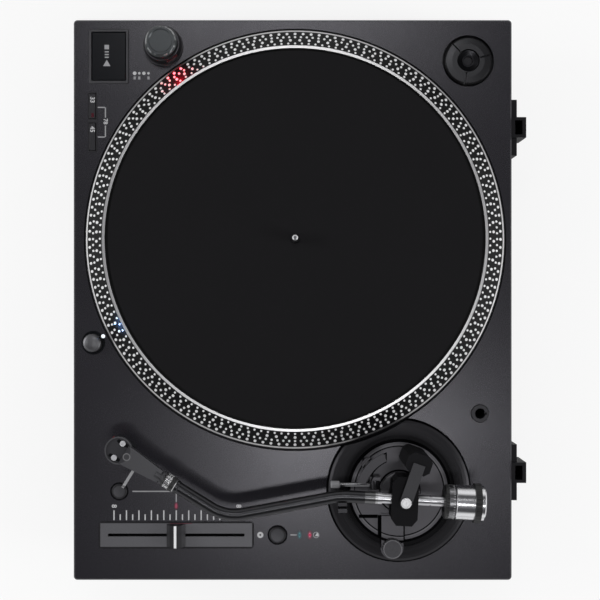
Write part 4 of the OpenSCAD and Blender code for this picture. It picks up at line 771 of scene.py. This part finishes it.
# ---- Hinge sockets
# Two moulded sockets on the back wall take the hinges of a dust cover.
# Their plastic is blacker and duller than the casing's paint.
dress(grained("socket plastic", (0.0045, 0.0045, 0.0050), 0.50, scale=1200, depth=0.03, Specular_IOR_Level=0.2),
      "hinge_sockets")

# ---- Rear connectors
# Gold-plated phono sockets and a ground post, beside moulded data and power sockets.
# A coloured ring at each phono socket's foot tells left from right.
dress(satin_black, "jack_panel")
dress(gloss_black, "rear_sockets")
dress(white_enamel, "preamp_switch")
dress(grained("gold plating", (0.80, 0.55, 0.18), 0.22, scale=900, Metallic=1.0), "rear_terminals", "ground_nut")
terminals_low, terminals_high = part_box("rear_terminals")
bay_x, socket_z = terminals_low.x + 58 * MM, (terminals_low.z + terminals_high.z) / 2
bay_floor = terminals_low.y + 6 * MM
# Section of a ring, in mm: radius, and distance from the bay's floor
RING_SECTION = ((4.3, 1.65), (5.6, 1.65), (5.6, 2.6), (4.3, 2.6))
for name, shift, colour, slot in (("right_channel_ring", -34, (0.42, 0.015, 0.015), "red_plastic"),
                                  ("left_channel_ring", -52, (0.72, 0.72, 0.70), "white_plastic")):
    socket_x = bay_x + shift * MM
    ring = bmesh.new()
    spin_section(ring, [(socket_x + r * MM, bay_floor + y * MM, socket_z) for r, y in RING_SECTION],
                 (socket_x, 0, socket_z), (0, 1, 0), 40)
    new_piece(name, ring, grained(name.replace("_", " "), colour, 0.4), "casing", smooth=True)

# ---- Tonearm base
# A domed ring of black casting, fixed in the deck, that falls off inwards into a groove, with painted shade that
# darkens it towards the inside.
# A fine line of painted shade runs along its outer edge, where it meets the paint.
arm_joint = next(joint for joint in frame["record"]["behaviour"]["joints"] if joint["name"] == "arm_swing")
PIVOT = Vector(arm_joint["pos_m"])
# Tones of painted shade and painted highlight for the arm's base, disc and anti-skate dial; the shade is made metal
# so that it takes no light
PAINTED_SHADE_TONE, PAINTED_HIGHLIGHT_TONE = (0.0022, 0.0022, 0.0025), (0.105, 0.104, 0.110)
base_enamel = grained("base enamel", (0.0130, 0.0126, 0.0142), 0.38, scale=1400, depth=0.02,
                      Specular_IOR_Level=0.32)
base_radius = radius_in(base_enamel, PIVOT)
base_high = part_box("arm_base")[1]
BASE_R = base_high.x - PIVOT.x
# Painted shade: a soft darkening towards the inside, and a fine dark line at the outer edge
for low, high, soft, shine in ((-FAR, BASE_R - 4 * MM, 11 * MM, 0.45), (BASE_R - 1.9 * MM, FAR, 0.5 * MM, 1)):
    repaint(base_enamel, zone(base_enamel, base_radius, low, high, soft), PAINTED_SHADE_TONE, 0.6, shine)
dress(base_enamel, "arm_base")

# ---- Tonearm disc
# The disc in the ring carries the cueing gear, the anti-skate dial and the bearing.
# It is enamelled grey, with turned steps and the window and pointer of the height scale; painted shade and highlights
# mark the edges of the steps, of the tab and of the window.
disc_enamel = grained("disc enamel", (0.0660, 0.0640, 0.0700), 0.40, scale=1400, depth=0.02,
                      Specular_IOR_Level=0.4)
disc_radius = radius_in(disc_enamel, PIVOT)
disc_place = place_in(disc_enamel)
# Painted shade and painted highlights on the edges of the steps, in mm from the pivot: inner and outer radius, colour
# and how metallic they are
for low, high, colour, shine in ((38.8, 41.2, PAINTED_SHADE_TONE, 1), (36.4, 37.3, PAINTED_HIGHLIGHT_TONE, 0), (35.1, 36.2, PAINTED_SHADE_TONE, 1),
                                 (14.3, 15.5, PAINTED_HIGHLIGHT_TONE, 0), (15.7, 17.2, PAINTED_SHADE_TONE, 1)):
    repaint(disc_enamel, zone(disc_enamel, disc_radius, low * MM, high * MM, 2 * SHARP), colour, 0.45, shine)
skate = centre_of("anti_skate_dial")
# Painted shadows along the edges of the anti-skate dial's tab and the one that branches off, in mm from the dial: x0,
# x1, y0, y1
for x0, x1, y0, y1 in ((-25.7, 0, -11.3, -8.4), (-26, 0, 9.0, 10.4), (-26.1, -23.2, -26.4, -11.3)):
    tab_edge_shadow = overlap(disc_enamel, zone(disc_enamel, disc_place["X"], skate.x + x0 * MM, skate.x + x1 * MM),
                        zone(disc_enamel, disc_place["Y"], skate.y + y0 * MM, skate.y + y1 * MM))
    repaint(disc_enamel, tab_edge_shadow, PAINTED_SHADE_TONE, 0.6, 1)
# The curved window of the height scale, in mm from the pivot: inner and outer radius, x and y where it ends; the
# first, wider zone is painted shade along the window's edge, the second the window's grey face
for inner, outer, x_end, y_end, colour, shine in ((24.8, 32.4, -6.0, -9.8, PAINTED_SHADE_TONE, 1),
                                                  (25.9, 31.3, -7.1, -10.9, (0.044, 0.043, 0.046), 0)):
    scale_window_and_edge_shade = overlap(disc_enamel, zone(disc_enamel, disc_radius, inner * MM, outer * MM),
                           zone(disc_enamel, disc_place["X"], -FAR, PIVOT.x + x_end * MM),
                           zone(disc_enamel, disc_place["Y"], -FAR, PIVOT.y + y_end * MM))
    repaint(disc_enamel, scale_window_and_edge_shade, colour, 0.45, shine)
dress(disc_enamel, "arm_disc")
arrowhead = bmesh.new()
ink_disc(arrowhead, PIVOT.x - 17.3 * MM, PIVOT.y - 22.3 * MM, base_high.z, 1.7 * MM, segments=3,
         turn=math.radians(45), thick=0.3 * MM)
new_piece("height_pointer", arrowhead, white_ink, "casing")

# ---- Anti-skate dial
# A small moulded knob on the disc's tab, set against a spring inside.
# Its top has a lighter ring of painted highlight.
grey_knob = grained("grey knob", (0.030, 0.030, 0.032), 0.44, scale=700, speckle=0.45, depth=0.04)
repaint(grey_knob, zone(grey_knob, radius_in(grey_knob, skate), 6.5 * MM, 7.5 * MM, 0.3 * MM), PAINTED_HIGHLIGHT_TONE, 0.4)
dress(grey_knob, "anti_skate_dial")

# ---- Cue lever and lift
# A plated rod with a light grip turns in a black block, and raises a bar under the tube.
# The bar is faced with grey rubber, so that the tube doesn't slide on it.
LEVER_GRIP, LEVER_ROD = 7.6 * MM, 31 * MM
lever_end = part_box("cue_lever")[0].y
lever_metal = grained("cue lever", (0.0100, 0.0100, 0.0110), 0.30, scale=1000)
lever_y = place_in(lever_metal)["Y"]
repaint(lever_metal, zone(lever_metal, lever_y, -FAR, lever_end + LEVER_GRIP), (0.26, 0.26, 0.27), 0.38)
rod = zone(lever_metal, lever_y, lever_end + LEVER_GRIP, lever_end + LEVER_ROD)
repaint(lever_metal, rod, (0.30, 0.30, 0.31), 0.30, 1.0)
dress(lever_metal, "cue_lever")
dress(grained("lift bar rubber", (0.046, 0.045, 0.049), 0.5, scale=1200), "cue_lift")

# ---- Arm rest
# A satin black post with a fork for the tube, and a hinged clip that holds the tube in it.
# The clip is blackened spring steel.
dress(satin_black, "arm_rest")
dress(grained("clip spring", (0.022, 0.022, 0.024), 0.34, scale=900, Metallic=0.7), "rest_clip")

# ---- Arm bearing
# The arm tilts in a block inside a yoke that turns about the upright pivot; both are enamelled black.
# A fixed frame reaches over them with a grey bridge, whose turned screw holds the upper bearing.
dull = dict(scale=1400, depth=0.02, Specular_IOR_Level=0.10)
black_enamel = grained("black enamel", (0.0042, 0.0042, 0.0046), 0.48, speckle=0.35, clouds=0.3, **dull)
dress(black_enamel, "arm_yoke", "gimbal_block")
bridge_enamel = grained("bridge enamel", (0.044, 0.044, 0.047), 0.50, speckle=0.3, **dull)
bridge_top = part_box("arm_frame")[1].z
pillar = zone(bridge_enamel, place_in(bridge_enamel)["Z"], -FAR, bridge_top - 0.7 * MM)
repaint(bridge_enamel, pillar, (0.0060, 0.0060, 0.0066), 0.50)
dress(bridge_enamel, "arm_frame")
dress(turned("bearing screw", (0.46, 0.46, 0.47), 0.36, (PIVOT.x, PIVOT.y, 0), spacing=0.9, spread=0.4, depth=0.03),
      "pivot_screw")

# ---- Arm tube
# A long S-bent tube, anodised dark and polished, with two brighter sleeves in front of the bearing.
# Behind the bearing a chromed stub carries the weight.
PARKED = math.radians(3)
along_arm = dict(centre=tuple(PIVOT), turn=(math.radians(-90), 0, -PARKED))
tube_metal = turned("anodised tube", (0.056, 0.056, 0.060), 0.32, spacing=0.6, spread=0.05, **along_arm)
# The sleeves, in mm along the arm from the pivot, and their colours
for low, high, colour in ((-30, -22, (0.16, 0.16, 0.165)), (-22, 0, (0.46, 0.46, 0.47))):
    repaint(tube_metal, zone(tube_metal, lines(tube_metal)["Along"], low * MM, high * MM), colour, 0.30)
dress(tube_metal, "arm_tube")
dress(grained("satin chrome", (0.62, 0.62, 0.64), 0.30, scale=500, speckle=0.03, spread=0.03, depth=0, Metallic=1.0),
      "arm_stub")

# ---- Headshell and cartridge
# A cast and anodised shell with a round plate, a rivet and two bright screws, locked to the tube by a collar.
# Four thin leads run from the shell to the cartridge, each in its own colour.
shell_screws = centre_of("cartridge_screws")
shell_metal = grained("anodised shell", (0.060, 0.060, 0.064), 0.34, scale=1300, Metallic=0.5)
plate_radius = radius_in(shell_metal, shell_screws)
repaint(shell_metal, zone(shell_metal, plate_radius, -FAR, 9.7 * MM, 0.3 * MM), (0.032, 0.032, 0.035), 0.45)
repaint(shell_metal, zone(shell_metal, plate_radius, 9.7 * MM, 10.5 * MM), (0.070, 0.070, 0.074))
rivet_radius = radius_in(shell_metal, shell_screws + Vector((4.6, 6.6, 0)) * MM)
repaint(shell_metal, zone(shell_metal, rivet_radius, -FAR, 3.0 * MM), (0.16, 0.16, 0.165), 0.4)
repaint(shell_metal, zone(shell_metal, rivet_radius, -FAR, 2.2 * MM), (0.045, 0.045, 0.048), 0.4)
dress(shell_metal, "headshell")
dress(grained("bright screws", (0.62, 0.62, 0.64), 0.42, scale=900, Metallic=1.0), "cartridge_screws")
dress(grained("finger lift", (0.36, 0.36, 0.37), 0.40, scale=1300, Metallic=0.8), "finger_lift")
dress(gloss_black, "cartridge")
dress(grained("stylus grip", (0.40, 0.02, 0.02), 0.15, **clear), "stylus")
head_axis = shell_screws - centre_of("lock_collar")
collar_metal = turned("lock collar", (0.50, 0.50, 0.51), 0.24, tuple(centre_of("lock_collar")), spacing=1.5,
                      depth=0.003, turn=(math.radians(-90), 0, -math.atan2(-head_axis.x, -head_axis.y)))
# Two black bands round the collar, in mm along it
for low, high in ((-5.6, -3.4), (1.0, 4.6)):
    band = zone(collar_metal, lines(collar_metal)["Along"], low * MM, high * MM)
    repaint(collar_metal, band, (0.012, 0.012, 0.013), 0.40, 0.0)
dress(collar_metal, "lock_collar")
lead_sleeves = grained("lead sleeves", (0.40, 0.03, 0.03), 0.5, scale=900)
across_shell = Vector((-head_axis.y, head_axis.x, 0)) / head_axis.length
aside = lead_sleeves.node_tree.nodes.new("ShaderNodeVectorMath")
aside.operation = "DOT_PRODUCT"
aside.inputs[1].default_value = across_shell
lead_place = lead_sleeves.node_tree.nodes.new("ShaderNodeTexCoord")
lead_sleeves.node_tree.links.new(lead_place.outputs["Object"], aside.inputs[0])
leads = centre_of("headshell_leads")
left_pair = zone(lead_sleeves, aside.outputs["Value"], leads.dot(across_shell), FAR)
upper_pair = zone(lead_sleeves, place_in(lead_sleeves)["Z"], leads.z, FAR)
repaint(lead_sleeves, left_pair, (0.65, 0.65, 0.63))
repaint(lead_sleeves, upper_pair, (0.02, 0.22, 0.06))
repaint(lead_sleeves, overlap(lead_sleeves, left_pair, upper_pair), (0.02, 0.08, 0.40))
dress(lead_sleeves, "headshell_leads")

# ---- Counterweight
# A chromed weight with a black knurled grip, on a threaded sleeve that slides along the stub as it turns.
# A dial ring in front of it, black with a chromed band painted darker as shade, carries forty strokes and eight
# figures.
ARM_DIRECTION = Vector((math.sin(PARKED), math.cos(PARKED), 0))


def points_of(node):
    """A CAD node's points, seen from the pivot."""
    return [Vector(vertex.co) - PIVOT for vertex in frame["nodes"][node].data.vertices]


WEIGHT_END = max(point.dot(ARM_DIRECTION) for point in points_of("counterweight"))
weight_chrome = turned("chromed weight", (0.80, 0.80, 0.82), 0.20, spacing=1.0, spread=0.04, depth=0.004, **along_arm)
grip = zone(weight_chrome, lines(weight_chrome)["Along"], WEIGHT_END - 8.3 * MM, WEIGHT_END - 3.3 * MM, SHARP / 2)
repaint(weight_chrome, grip, (0.010, 0.010, 0.011), 0.45, 0.0)
dress(weight_chrome, "counterweight")
dress(satin_black, "weight_insert")

dial_points = points_of("weight_dial")
DIAL_FRONT = min(point.dot(ARM_DIRECTION) for point in dial_points)
WEIGHT_R = max((point - point.dot(ARM_DIRECTION) * ARM_DIRECTION).length for point in dial_points)
dial_plastic = turned("weight dial", (0.0090, 0.0090, 0.0098), 0.42, spacing=0.5, Metallic=0.0, **along_arm)
# A chromed band, painted darker as shade
shaded_chrome_band = zone(dial_plastic, lines(dial_plastic)["Along"], DIAL_FRONT + 3.2 * MM, FAR)
repaint(dial_plastic, shaded_chrome_band, (0.20, 0.20, 0.208), 0.28, 1.0)
dress(dial_plastic, "weight_dial")


def on_weight_dial(part_of_turn, distance):
    """A place on the dial's rim, at a part of a turn and a distance behind its front, in metres."""
    return (Matrix.Translation(PIVOT) @ Matrix.Rotation(-PARKED, 4, "Z")
            @ Matrix.Rotation(2 * math.pi * part_of_turn, 4, "Y")
            @ Matrix.Translation((0, DIAL_FRONT + distance, WEIGHT_R)))


STROKES, FIGURES = 40, 8
dial_marks = bmesh.new()
for step in range(STROKES):
    length = (1.8 if step % 5 == 0 else 1.1) * MM
    bmesh.ops.create_cube(dial_marks, size=1, matrix=on_weight_dial(step / STROKES, 7.6 * MM - length / 2)
                          @ Matrix.Diagonal((0.4 * MM, length, INK, 1)))
for step in range(FIGURES):
    ink_text(dial_marks, str(step % 4), 2.4 * MM, on_weight_dial(step / FIGURES, 4.7 * MM), bold=0.05 * MM)
new_piece("weight_dial_marks", dial_marks, white_ink, "weight_dial")
